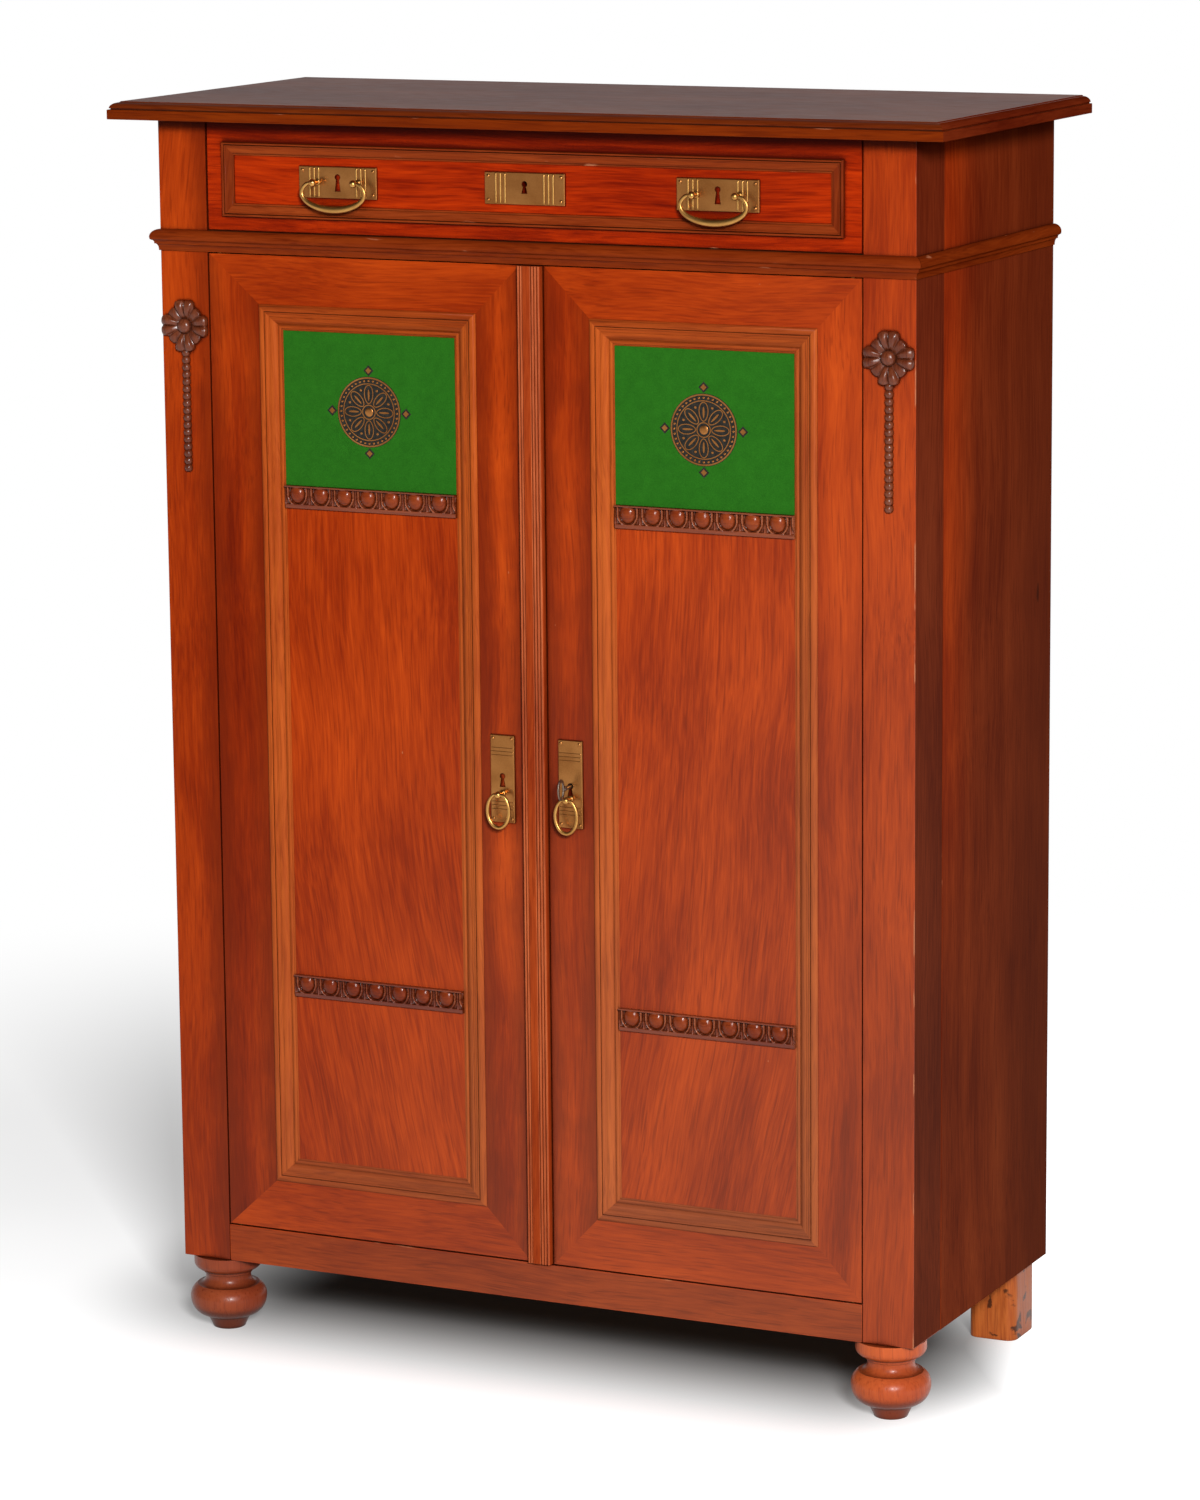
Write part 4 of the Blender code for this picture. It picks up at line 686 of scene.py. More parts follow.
def slab(low, high):
    """Rectangular solid between two corners."""
    bm = bmesh.new()
    low = Vector(low)
    high = Vector(high)
    bmesh.ops.create_cube(bm, size=1.0)
    bmesh.ops.scale(bm, vec=high - low, verts=bm.verts)
    bmesh.ops.translate(bm, vec=(low + high) / 2, verts=bm.verts)
    return bm


def raised(outline, axis, place):
    """Points of a flat outline at a place on an axis; the outline's pairs are in the other two axes."""
    ring = [list(point) for point in outline]
    for point in ring:
        point.insert("XYZ".index(axis), place)
    return ring


def prism(outline, axis, start, end):
    """Flat outline drawn out along one axis."""
    return lofted([raised(outline, axis, place) for place in (start, end)])


def circle(centre, radius, steps):
    """Points round a circle, as pairs."""
    angles = [2 * pi * i / steps for i in range(steps)]
    return [(centre[0] + radius * cos(a), centre[1] + radius * sin(a)) for a in angles]


def arc(centre, radii, start, end, steps):
    """Points on an elliptical arc between two angles in turns of pi."""
    angles = [pi * (start + (end - start) * i / steps) for i in range(steps + 1)]
    return [(centre[0] + radii[0] * cos(a), centre[1] + radii[1] * sin(a)) for a in angles]


def polar(centre, radius, angle):
    """Point round a centre, as a pair; the angle goes from the second axis towards the first."""
    return (centre[0] + radius * sin(angle), centre[1] + radius * cos(angle))


def turned(profile, axis, centre, steps):
    """Solid turned about an axis; the profile has (radius, place along the axis) points."""
    return lofted([raised(circle(centre, radius, steps), axis, place) for radius, place in profile])


def wire(path, radii, depth, closed, sides=16, flatten=1.0):
    """Round wire along a flat path, with a radius at each point; depth points square to its plane."""
    rings = []
    count = len(path)
    depth = Vector(depth)
    angles = [2 * pi * j / sides for j in range(sides)]
    for i, (point, radius) in enumerate(zip(path, radii)):
        before = path[i - 1] if closed or i else point
        after = path[(i + 1) % count] if closed or i < count - 1 else point
        across = (Vector(after) - Vector(before)).normalized().cross(depth)
        rings.append([Vector(point) + radius * (cos(a) * across + flatten * sin(a) * depth) for a in angles])
    return looped(rings) if closed else lofted(rings)


def mitred_frame(low, high, face, profile):
    """Moulding mitred round a rectangle in the front; slot 0 lies across, slot 1 stands up."""
    bm = bmesh.new()
    rings = []
    for inset, height in profile:
        left, bottom = low[0] + inset, low[1] + inset
        right, top = high[0] - inset, high[1] - inset
        corners = ((left, bottom), (right, bottom), (right, top), (left, top))
        rings.append([(x, face - height, z) for x, z in corners])
    _, faces = skin(bm, rings, along=True)
    for index, face in enumerate(faces):
        face.material_index = index % 2
    return bm


def pierced(bm, tool):
    """Mesh with a tool solid taken away."""
    scene = bpy.context.scene
    parts = []
    for name, part in (("target", bm), ("tool", tool)):
        bmesh.ops.recalc_face_normals(part, faces=part.faces)
        mesh = bpy.data.meshes.new(name)
        part.to_mesh(mesh)
        part.free()
        obj = bpy.data.objects.new(name, mesh)
        scene.collection.objects.link(obj)
        parts.append(obj)
    step = parts[0].modifiers.new("cut", "BOOLEAN")
    step.operation = "DIFFERENCE"
    step.object = parts[1]
    cut = bmesh.new()
    cut.from_object(parts[0], bpy.context.evaluated_depsgraph_get())
    for obj in parts:
        mesh = obj.data
        bpy.data.objects.remove(obj)
        bpy.data.meshes.remove(mesh)
    return cut


def bell(value, width):
    """Smooth bump that is 1 at 0 and fades over the width."""
    return exp(-((value / width) ** 2))


# Boards


class CABINET_OT_top(bpy.types.Operator):
    """Top board with a flat band, a quirk and an ovolo round the front and sides"""

    bl_idname = "cabinet.top"
    bl_label = "Top board"

    def execute(self, context):
        low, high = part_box("top_board")
        thick = high.z - low.z
        band, quirk, groove, inset, edge = 0.0110, 0.0018, 0.0014, 0.0115, 0.0007
        profile = [(edge, 0.0), (edge * 0.3, edge * 0.3), (0.0, edge)]
        profile += [(0.0, band - edge), (edge * 0.3, band - edge * 0.3), (edge, band)]
        profile += [(quirk + groove, band), (quirk + groove, band + groove)]
        ovolo = (quirk - inset, thick - band - quirk - groove / 2)
        profile += arc((inset, band + groove), ovolo, 0.0, 0.47, 10)
        profile += [(inset, thick - edge * 0.5), (inset + edge * 0.5, thick)]
        rings = []
        for into, rise in profile:
            left, right, front = low.x + into, high.x - into, low.y + into
            corners = ((left, high.y), (left, front), (right, front), (right, high.y))
            rings.append([(x, y, low.z + rise) for x, y in corners])
        solid = bmesh.new()
        rings, _ = skin(solid, rings, around=False)
        back = [*(ring[0] for ring in rings), *(ring[-1] for ring in reversed(rings))]
        for outline in (rings[0], rings[-1], back):
            solid.faces.new(outline)
        # Mortise in the underside for the drawer's lock bolt, as deep as the bolt can go
        bolt_low, bolt_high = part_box("drawer_lock_bolt")
        bolt_slide = next(joint for joint in frame["joints"] if joint["name"] == "drawer_bolt_slide")
        room = Vector((0.0005, 0.0005, 0.0))
        mortise_low = bolt_low - room
        mortise_high = bolt_high + room
        mortise_low.z = low.z - 0.002
        mortise_high.z = bolt_high.z + bolt_slide["range_m"][1] + 0.001
        bm = pierced(solid, slab(mortise_low, mortise_high))
        bm.normal_update()
        for face in bm.faces:
            rise = face.calc_center_median().z - low.z
            flat = face.normal.z > 0.98 and rise > thick * 0.9
            if rise > band - 0.00001:
                face.material_index = 0 if flat else 1
            else:
                face.material_index = 3 if rise > band - edge else 2
            if not flat and abs(face.normal.x) > abs(face.normal.y):
                face.material_index = 4
        finishes = ("top_wood", "top_ovolo", "top_band", "top_band_worn", "top_side")
        dress("top_board", bm, "carcass", finishes, 30.0)
        return {"FINISHED"}


class CABINET_OT_carcass(bpy.types.Operator):
    """Posts, sides, plinth, back and the boards inside"""

    bl_idname = "cabinet.carcass"
    bl_label = "Carcass"

    def execute(self, context):
        arris = context.scene.cabinet_sizes.arris
        finishes = ("post_wood", "post_side", "post_worn")
        for side, sign in SIDES:
            name = f"{side}_front_post"
            post = board(name, "carcass", finishes, arris, 0.03, lambda normal: abs(normal.x) > 0.9)
            middle = (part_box(name)[0].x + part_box(name)[1].x) / 2
            for face in post.data.polygons:
                if face.material_index == 2 and (face.center.x - middle) * sign < 0:
                    face.material_index = 0
            board(f"{side}_side_panel", "carcass", ("side_wood", "side_wood_worn"), arris / 2)
            board(f"{side}_drawer_guide", "carcass", ("pine_deep",), arris)
        board("plinth_rail", "carcass", ("plinth_wood", "veneer_across_worn"), arris)
        board("back_panel", "carcass", ("pine_up",), arris / 2)
        finishes = ("pine_across", "rail_wood")
        for name in ("floor_board", "dust_board", "lower_shelf", "upper_shelf"):
            board(name, "carcass", finishes, arris / 2, 0.03, lambda normal: normal.y < -0.9)
        return {"FINISHED"}


class CABINET_OT_mid_mouldings(bpy.types.Operator):
    """Moulding under the drawer, mitred round the front corners"""

    bl_idname = "cabinet.mid_mouldings"
    bl_label = "Mid mouldings"

    def execute(self, context):
        low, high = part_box("mid_moulding_front")
        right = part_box("mid_moulding_right")
        gap = right[0].y - low.y
        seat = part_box("right_front_post")[1].x
        out = POST_FACE - low.y
        height = high.z - low.z
        nose = height * 0.645
        # Outline as (distance out from the posts, height) points, from the bottom up
        profile = [(gap, 0.0), (out * 0.16, 0.0)]
        profile += arc((out * 0.52, nose * 0.06), (-out * 0.36, nose * 0.44), 0.0, 0.46, 7)
        profile += [(out * 0.56, nose * 0.50)]
        profile += arc((out * 0.84, nose * 0.57), (-out * 0.28, nose * 0.20), 0.0, 0.46, 5)
        profile += [(out * 0.88, nose * 0.80), (out * 0.96, nose * 0.84)]
        profile += arc((gap, nose), (out - gap, height - nose), -0.04, 0.47, 10)
        profile += [(gap, height)]
        ends = []
        for sign in (-1, 1):
            ends.append([(sign * (seat - gap + x), POST_FACE - x, low.z + z) for x, z in profile])
        dress("mid_moulding_front", lofted(ends), "carcass", ("mid_moulding_across",))
        for side, sign in SIDES:
            corner = [(sign * (seat + x), POST_FACE - x + gap, low.z + z) for x, z in profile]
            rear = [(sign * (seat + x), right[1].y, low.z + z) for x, z in profile]
            name = f"mid_moulding_{side}"
            dress(name, lofted([corner, rear]), "carcass", ("mid_moulding_deep",))
        return {"FINISHED"}


class CABINET_OT_feet(bpy.types.Operator):
    """Turned bun feet in front and plain blocks behind"""

    bl_idname = "cabinet.feet"
    bl_label = "Feet"

    def bun_profile(self, height):
        """Foot from the floor up as (radius, height) points, with its spigot in the post."""
        belly = (0.0265, 0.038)
        bulge, shoulder, fillet, collar, spigot = 0.0185, 0.0365, 0.0285, 0.00975, 0.0100
        base = [(0.0170, 0.0), *arc((0.0175, 0.002), (0.0020, 0.0020), -0.5, 0.0, 4)]
        base += [(0.0235, 0.0105), (0.0258, 0.0138), (0.0262, 0.0146)]
        bun = arc(belly, (bulge, 0.0225), -0.46, 0.0, 14)
        turn = acos((shoulder - belly[0]) / bulge)
        bun += arc(belly, (bulge, 0.015 / sin(turn)), 0.10 * turn / pi, turn / pi, 9)
        neck = arc((0.0353, 0.063), (0.0088, 0.010), 1.49, 1.0, 10)
        neck += [(0.0268, 0.0660), (fillet, 0.0670), (fillet, 0.0705)]
        crown = arc((fillet, height - collar), (0.0115, collar), -0.45, 0.0, 9)
        crown += [(0.0400, height - SEAT_GAP), (spigot, height - SEAT_GAP), (spigot, height + 0.024)]
        return [*base, *bun, *neck, *crown]

    def execute(self, context):
        arris = context.scene.cabinet_sizes.arris
        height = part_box("left_front_post")[0].z
        for side, _ in SIDES:
            low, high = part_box(f"{side}_front_foot")
            centre = ((low.x + high.x) / 2, (low.y + high.y) / 2)
            foot = turned(self.bun_profile(height), "Z", centre, 72)
            dress(f"{side}_front_foot", foot, "carcass", (f"{side}_turned",), 28.0)
            board(f"{side}_rear_foot", "carcass", ("block_wood_up",), arris, 0.004)
        return {"FINISHED"}


# Carving


class CABINET_OT_rosettes(bpy.types.Operator):
    """Carved rosettes with a drop of beads on the posts"""

    bl_idname = "cabinet.rosettes"
    bl_label = "Rosettes"

    def petal(self, angle):
        """Share of the radius and height of the carving at an angle round the flower.

        Four wide petals with two lobes stand upright and level, and four plain ones lie between them."""
        turn = abs((angle / (pi / 2) + 0.5) % 1.0 - 0.5)
        wide = 0.33
        if turn < wide:
            t = turn / wide
            lobe = sqrt(max(0.0, 1 - ((t - 0.50) / 0.54) ** 2))
            outline = 0.88 + 0.12 * lobe
            rise = (0.50 + 0.50 * lobe) * (1 - 0.30 * bell(t, 0.13))
        else:
            t = (0.5 - turn) / (0.5 - wide)
            outline = 0.84 - 0.03 * t * t
            rise = 0.46 * (1 - 0.15 * t)
        notch = bell(1 - t, 0.16)
        return outline * (1 - 0.10 * notch), rise * (1 - 0.70 * notch)

    def flower(self, x, z, radius, face, thick):
        """Flower in relief with a round boss in its middle."""
        steps, last = 160, 29
        boss_share = 0.29
        rings = []
        for i in range(last + 1):
            share = 0.03 + 0.97 * i / last
            spread = min(1.0, max(0.0, (share - boss_share) / 0.40))
            crest = sin(pi * (max(0.0, share - boss_share) / 0.80) ** 1.2) ** 0.7
            ring = []
            for j in range(steps):
                angle = 2 * pi * j / steps
                outline, rise = self.petal(angle)
                lift = 0.20 + 0.66 * rise * crest
                if share < boss_share:
                    lift = 0.30 + 0.70 * sqrt(1 - (share / boss_share) ** 2)
                place = radius * share * (1 + (outline - 1) * spread)
                ring.append((x + place * sin(angle), face - thick * lift, z + place * cos(angle)))
            rings.append(ring)
        rim = [(px, face, pz) for px, _, pz in rings[-1]]
        return lofted([*rings, rim])

    def beads(self, x, top, bottom, count, radius, face):
        """String of half-round beads."""
        pitch = (top - bottom) / count
        steps = 10
        angles = [pi * j / steps for j in range(steps + 1)]
        rings = []
        for i in range(count * steps + 1):
            swell = 0.62 + 0.38 * abs(sin(pi * i / steps)) ** 0.7
            z = top - i * pitch / steps
            rings.append([(x + radius * swell * cos(a), face - radius * swell * sin(a), z) for a in angles])
        return lofted(rings)

    def execute(self, context):
        count = context.scene.cabinet_sizes.bead_count
        bead = 0.0049
        for side, _ in SIDES:
            low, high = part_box(f"{side}_rosette")
            radius = (high.x - low.x) / 2
            x = (low.x + high.x) / 2
            z = high.z - radius
            flower = self.flower(x, z, radius, high.y, high.y - low.y)
            absorb(flower, self.beads(x, z - radius * 0.9, low.z, count, bead, high.y))
            dress(f"{side}_rosette", flower, "carcass", ("carved_wood_up",), 75.0)
        return {"FINISHED"}


class CABINET_OT_egg_rails(bpy.types.Operator):
    """Carved egg and dart rails across the door panels"""

    bl_idname = "cabinet.egg_rails"
    bl_label = "Egg rails"

    # Egg's half width and its depth below and above its middle, in metres
    egg_half, egg_below, egg_above = 0.0097, 0.0104, 0.0125
    # Shares of the rail's height: top of the lower bead, foot of the upper fillet and middle of the eggs
    bead_top, fillet_foot, egg_middle = 0.20, 0.92, 0.62
    # Size of the shell's rim against the egg's, and half the width that takes the shell's lighter finish, a
    # painted highlight
    shell_size, shell_half = 1.22, 0.08
    # Grid of the relief: columns to each egg and rows up the rail
    columns_per_egg, rows = 52, 48

    def egg(self, across, up):
        """Distance from an egg's middle, 1 on its edge, at a place across and up from that middle."""
        tall = self.egg_below if up < 0 else self.egg_above
        return sqrt((across / self.egg_half) ** 2 + (up / tall) ** 2)

    def relief(self, across, up, half, height):
        """Height of the carving, as a share of the rail's thickness, across an egg and up the rail."""
        share = up / height
        if share < self.bead_top:
            return 0.40 + 0.14 * sqrt(max(0.0, 1 - (share / self.bead_top - 1) ** 2))
        if share > self.fillet_foot:
            return 0.84
        egg = self.egg(across, up - self.egg_middle * height)
        if egg < 1.0:
            return 0.24 + 0.76 * (1 - egg * egg) ** 0.75
        shell = self.egg(across, min(0.0, up - self.egg_middle * height))
        rim = 0.50 * bell(shell - self.shell_size, 0.11)
        dart = 0.34 * bell(abs(across) - half, 0.0011 + 0.0022 * max(0.0, 0.55 - share))
        return 0.18 + max(rim, dart)

    def execute(self, context):
        pitch = context.scene.cabinet_sizes.egg_pitch
        finishes = ("carved_wood_across", "egg_wood", "shell_wood")
        for side, _ in SIDES:
            for level in ("upper", "lower"):
                name = f"{side}_{level}_egg_rail"
                low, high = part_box(name)
                height = high.z - low.z
                columns = round(self.columns_per_egg * (high.x - low.x) / pitch)
                rings = []
                for column in range(columns + 1):
                    x = low.x + (high.x - low.x) * column / columns
                    across = ((x - low.x) % pitch) - pitch / 2
                    ring = [(x, high.y, low.z)]
                    for row in range(self.rows + 1):
                        up = height * row / self.rows
                        lift = self.relief(across, up, pitch / 2, height) * (high.y - low.y)
                        ring.append((x, high.y - lift, low.z + up))
                    rings.append([*ring, (x, high.y, high.z)])
                rail = lofted(rings)
                for face in rail.faces:
                    middle = face.calc_center_median()
                    across = ((middle.x - low.x) % pitch) - pitch / 2
                    up = middle.z - low.z
                    if not self.bead_top * height < up < self.fillet_foot * height:
                        continue
                    up -= self.egg_middle * height
                    if self.egg(across, up) < 1.0:
                        face.material_index = 1
                    # Rim faces take the lighter shell finish, a painted highlight
                    elif abs(self.egg(across, min(0.0, up)) - self.shell_size) < self.shell_half:
                        face.material_index = 2
                dress(name, rail, f"{side}_door", finishes, 85.0)
        return {"FINISHED"}


# Doors


class CABINET_OT_door_frames(bpy.types.Operator):
    """Mitred door frames, with upright grain in the stiles and level grain in the rails"""

    bl_idname = "cabinet.door_frames"
    bl_label = "Door frames"

    def execute(self, context):
        arris = context.scene.cabinet_sizes.arris
        finishes = ("stile_wood", "rail_wood", "stile_worn")
        for side, _ in SIDES:
            name = f"{side}_door_frame"
            low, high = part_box(name)
            field_low, field_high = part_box(f"{side}_panel_moulding")
            if side == "left":
                high = Vector((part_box("meeting_strip")[0].x, high.y, high.z))
            bm = node_mesh(name)
            # Cut the faces along the mitres, so that stiles and rails can have their own grain
            mitres = []
            for x, inner_x in ((low.x, field_low.x), (high.x, field_high.x)):
                for z, inner_z in ((low.z, field_low.z), (high.z, field_high.z)):
                    corner = Vector((x, 0.0, z))
                    run = Vector((inner_x, 0.0, inner_z)) - corner
                    square = Vector((-run.z, 0.0, run.x))
                    square *= 1.0 if square.z * (z - field_low.z) > 0 else -1.0
                    mitres.append((corner, square, z > field_low.z))
                    parts = [*bm.verts, *bm.edges, *bm.faces]
                    bmesh.ops.bisect_plane(bm, geom=parts, dist=0.00001, plane_co=corner, plane_no=square)
            ease(bm, arris, 0.05, slot=2)
            bmesh.ops.dissolve_degenerate(bm, dist=WELD, edges=bm.edges)
            for face in bm.faces:
                middle = face.calc_center_median()
                upper = middle.z > (low.z + high.z) / 2
                beyond = [(middle - place).dot(square) > 0 for place, square, top in mitres if top == upper]
                if all(beyond) and face.material_index == 0:
                    face.material_index = 1
            dress(name, bm, f"{side}_door", finishes)
        return {"FINISHED"}


class CABINET_OT_door_panels(bpy.types.Operator):
    """Flame veneered panels and the stepped mouldings round them"""

    bl_idname = "cabinet.door_panels"
    bl_label = "Door panels"

    # Depth of the groove in the frame that holds the panel
    groove = 0.006

    def profile(self, wide, rise, sunk, overlap):
        """Moulding as (inset, height over the frame) points: bead, fillet, cove, ovolo and inner bead."""
        slope = [(0.000, 0.10), (0.030, 0.46), (0.066, 0.78)]
        bead = arc((0.166, 0.72), (-0.096, 0.28), 0.08, 0.94, 10)
        fillet = [(0.266, 0.44), (0.292, 0.44), (0.298, 0.70), (0.346, 0.66)]
        cove = [(0.356, 0.52), (0.378, 0.38), (0.408, 0.27), (0.446, 0.20), (0.484, 0.17)]
        outer = [*slope, *bead, *fillet, *cove]
        step = [(0.488, -0.20)]
        ovolo = [(0.520, -0.21), (0.570, -0.15), (0.625, -0.02), (0.680, 0.17), (0.730, 0.40), (0.768, 0.64)]
        quirk = [(0.774, 0.74), (0.800, 0.75)]
        inner_bead = arc((0.868, 0.70), (-0.066, -0.16), 0.0, 0.90, 9)
        inner = [*step, *ovolo, *quirk, *inner_bead, (0.940, 0.83), (1.0, 0.88)]
        points = [(wide * share, max(SEAT_GAP, rise * height)) for share, height in outer]
        points += [(wide * share, sunk * height) for share, height in inner]
        bottom = sunk + SEAT_GAP
        seat = [(wide, bottom), (overlap + SEAT_GAP, bottom), (overlap + SEAT_GAP, SEAT_GAP)]
        return [*points, *seat]

    def execute(self, context):
        arris = context.scene.cabinet_sizes.arris
        sunk = DOOR_FACE - PANEL_FACE
        for side, _ in SIDES:
            door = f"{side}_door"
            board(f"{side}_door_panel", door, (f"{side}_flame",), arris / 2)
            name = f"{side}_panel_moulding"
            low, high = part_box(name)
            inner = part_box(f"{side}_green_field")[0].x - SEAT_GAP
            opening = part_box(f"{side}_door_panel")[0].x + self.groove - SEAT_GAP
            profile = self.profile(inner - low.x, DOOR_FACE - low.y, sunk, opening - low.x)
            moulding = mitred_frame((low.x, low.z), (high.x, high.z), DOOR_FACE, profile)
            finishes = ("moulding_across", "moulding_up")
            dress(name, moulding, door, finishes, 40.0)
        return {"FINISHED"}


class CABINET_OT_green_fields(bpy.types.Operator):
    """Green cloth fields with a round ornament of brass lines on black"""

    bl_idname = "cabinet.green_fields"
    bl_label = "Green fields"

    def band(self, path, width, back, front):
        """Flat closed band along a path of (x, z) points."""
        rings = []
        count = len(path)
        for i, (x, z) in enumerate(path):
            before = Vector(path[i - 1])
            after = Vector(path[(i + 1) % count])
            run = (after - before).normalized()
            across = Vector((-run.y, run.x)) * width / 2
            near = (x - across.x, z - across.y)
            far = (x + across.x, z + across.y)
            corners = ((near, back), (near, front), (far, front), (far, back))
            rings.append([(u, y, v) for (u, v), y in corners])
        return looped(rings)

    def petal_path(self, centre, angle, start, end, half):
        """Outline of a leaf-shaped petal."""
        points = []
        steps = 24
        for i in range(steps):
            turn = 2 * pi * i / steps
            along = start + (end - start) * (0.5 - 0.5 * cos(turn))
            across = half * sin(turn) * (0.75 + 0.25 * sin(turn / 2))
            x = centre[0] + along * sin(angle) + across * cos(angle)
            z = centre[1] + along * cos(angle) - across * sin(angle)
            points.append((x, z))
        return points

    def roundel(self, centre, radius, cloth):
        """Beaded disc with an eight-petalled flower, and a lozenge on each of its four sides."""
        back, ground, line = cloth, cloth - 0.0004, cloth - 0.0007
        bm = prism(circle(centre, radius, 96), "Y", back, ground)
        for share, width in ((0.965, 0.0016), (0.80, 0.0011), (0.20, 0.0011)):
            absorb(bm, self.band(circle(centre, radius * share, 96), width, back, line), 1)
        beads, petals = 40, 8
        dome = [(0.0014, ground), (0.0013, line), (0.0006, line - 0.0003)]
        for i in range(beads):
            absorb(bm, turned(dome, "Y", polar(centre, radius * 0.885, 2 * pi * i / beads), 10), 1)
        for i in range(petals):
            angle = 2 * pi * i / petals
            path = self.petal_path(centre, angle, radius * 0.24, radius * 0.76, radius * 0.145)
            absorb(bm, self.band(path, 0.0010, back, line), 1)
            vein = self.petal_path(centre, angle, radius * 0.32, radius * 0.64, radius * 0.030)
            absorb(bm, prism(vein, "Y", back, line), 1)
            seed = polar(centre, radius * 0.66, angle + pi / petals)
            absorb(bm, turned([(0.0015, ground), (0.0012, line)], "Y", seed, 12), 1)
        absorb(bm, turned([(0.0050, ground), (0.0046, line), (0.0020, line - 0.0006)], "Y", centre, 24), 1)
        for i in range(4):
            middle = polar(centre, radius * 1.17, pi / 2 * i)
            for size, slot, front in ((0.0062, 0, ground), (0.0036, 1, line)):
                absorb(bm, prism(circle(middle, size, 4), "Y", back, front), slot)
        return bm

    def execute(self, context):
        sizes = context.scene.cabinet_sizes
        for side, _ in SIDES:
            door = f"{side}_door"
            name = f"{side}_green_field"
            board(name, door, ("green_cloth",), sizes.fine_arris, 0.1)
            low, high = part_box(name)
            centre = ((low.x + high.x) / 2, (low.z + high.z) / 2)
            roundel = self.roundel(centre, sizes.roundel_radius, low.y)
            add_piece(f"{side}_roundel", roundel, door, ("black_lacquer", "aged_brass"))
        return {"FINISHED"}


class CABINET_OT_meeting_strip(bpy.types.Operator):
    """Reeded strip that covers the joint between the doors"""

    bl_idname = "cabinet.meeting_strip"
    bl_label = "Meeting strip"

    def execute(self, context):
        low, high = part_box("meeting_strip")
        wide = high.x - low.x
        thick = high.y - low.y
        # Reeds from left to right as shares of the width; the widest is a flat band
        shares = (0.115, 0.115, 0.370, 0.133, 0.133, 0.134)
        valley = thick * 0.70
        points = [(low.x, high.y), (low.x, high.y - valley)]
        start = low.x
        for share in shares:
            width = share * wide
            end = start + width
            if share > 0.3:
                points += [(start + 0.0003, low.y + 0.0006), (start + 0.0009, low.y)]
                points += [(end - 0.0009, low.y), (end - 0.0003, low.y + 0.0006)]
            else:
                reed = (width / 2, valley - thick)
                points += arc((start + width / 2, high.y - valley), reed, 0.97, 0.03, 9)
            start = end
        points += [(high.x, high.y - valley), (high.x, high.y)]
        strip = prism(points, "Z", low.z, high.z)
        bmesh.ops.remove_doubles(strip, verts=strip.verts, dist=WELD)
        # The narrow crests at the front take the lighter finish, a painted highlight along each reed
        for face in strip.faces:
            across = max(vert.co.x for vert in face.verts) - min(vert.co.x for vert in face.verts)
            if across < 0.0008 and face.calc_center_median().y < low.y + 0.0007:
                face.material_index = 1
        finishes = ("strip_wood", "strip_rubbed")
        dress("meeting_strip", strip, "left_door", finishes, 50.0)
        return {"FINISHED"}


# Drawer


class CABINET_OT_drawer(bpy.types.Operator):
    """Drawer front with its moulding, and the pine box behind it"""

    bl_idname = "cabinet.drawer"
    bl_label = "Drawer"

    def execute(self, context):
        arris = context.scene.cabinet_sizes.arris
        board("drawer_front", "drawer", ("drawer_wood", "drawer_wood_worn"), arris, 0.08)
        for side, _ in SIDES:
            board(f"drawer_{side}_side", "drawer", ("pine_deep",), arris / 2)
        for name in ("drawer_back", "drawer_bottom"):
            board(name, "drawer", ("pine_across",), arris / 2)
        low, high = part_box("drawer_moulding")
        # Moulding as shares of its width and thickness, from the outer edge inwards
        wide = 0.0145
        thick = DOOR_FACE - low.y
        bead = [(0.0, 0.62), *arc((0.10, 0.62), (-0.10, 0.38), 0.1, 0.80, 8)]
        fillet = [(0.21, 0.56), (0.25, 0.56), (0.26, 0.80), (0.32, 0.78)]
        hollow = [(0.36, 0.62), (0.44, 0.50), (0.56, 0.45), (0.66, 0.46)]
        nose = [(0.74, 0.43), (0.82, 0.34), (0.86, 0.22), (0.90, 0.22), (0.91, 0.32), (1.0, 0.24)]
        profile = [(wide * share, thick * height) for share, height in (*bead, *fillet, *hollow, *nose)]
        profile = [(0.0, SEAT_GAP), *profile, (wide, SEAT_GAP)]
        moulding = mitred_frame((low.x, low.z), (high.x, high.z), DOOR_FACE, profile)
        finishes = ("drawer_moulding_across", "drawer_moulding_up")
        dress("drawer_moulding", moulding, "drawer", finishes, 40.0)
        return {"FINISHED"}


# Fittings


def keyhole(x, z, radius, length):
    """Keyhole outline: a round head and a slot that widens below it."""
    neck = radius * 0.55
    foot = radius * 1.05
    shoulder = z - sqrt(radius**2 - neck**2)
    end = z + radius - length
    head = arc((x, z), (radius, radius), -0.35, 1.35, 14)
    return [(x - neck, shoulder), (x - foot, end), (x + foot, end), (x + neck, shoulder), *head]


def plate(x, z, width, height, face):
    """Brass plate with a bevelled rim."""
    thick = PLATE_THICK
    rim = thick * 0.5
    rings = []
    for inset, rise in ((0.0, 0.0), (0.0, thick - rim), (rim * 0.4, thick - rim * 0.35), (rim, thick)):
        half_x = width / 2 - inset
        half_z = height / 2 - inset
        corners = ((-half_x, -half_z), (half_x, -half_z), (half_x, half_z), (-half_x, half_z))
        rings.append([(x + u, face - rise, z + v) for u, v in corners])
    return lofted(rings)


def keyed(bm, hole, face):
    """Plate with a keyhole cut through it."""
    return pierced(bm, prism(hole, "Y", face - 2 * PLATE_THICK, face + PLATE_THICK))


def nail(x, z, face, radius):
    """Domed nail head."""
    dome = [(radius * cos(pi * i / 10), face - radius * 0.55 * sin(pi * i / 10)) for i in range(5)]
    return turned([(radius, face + radius), *dome, (radius * 0.2, face - radius * 0.55)], "Y", (x, z), 14)


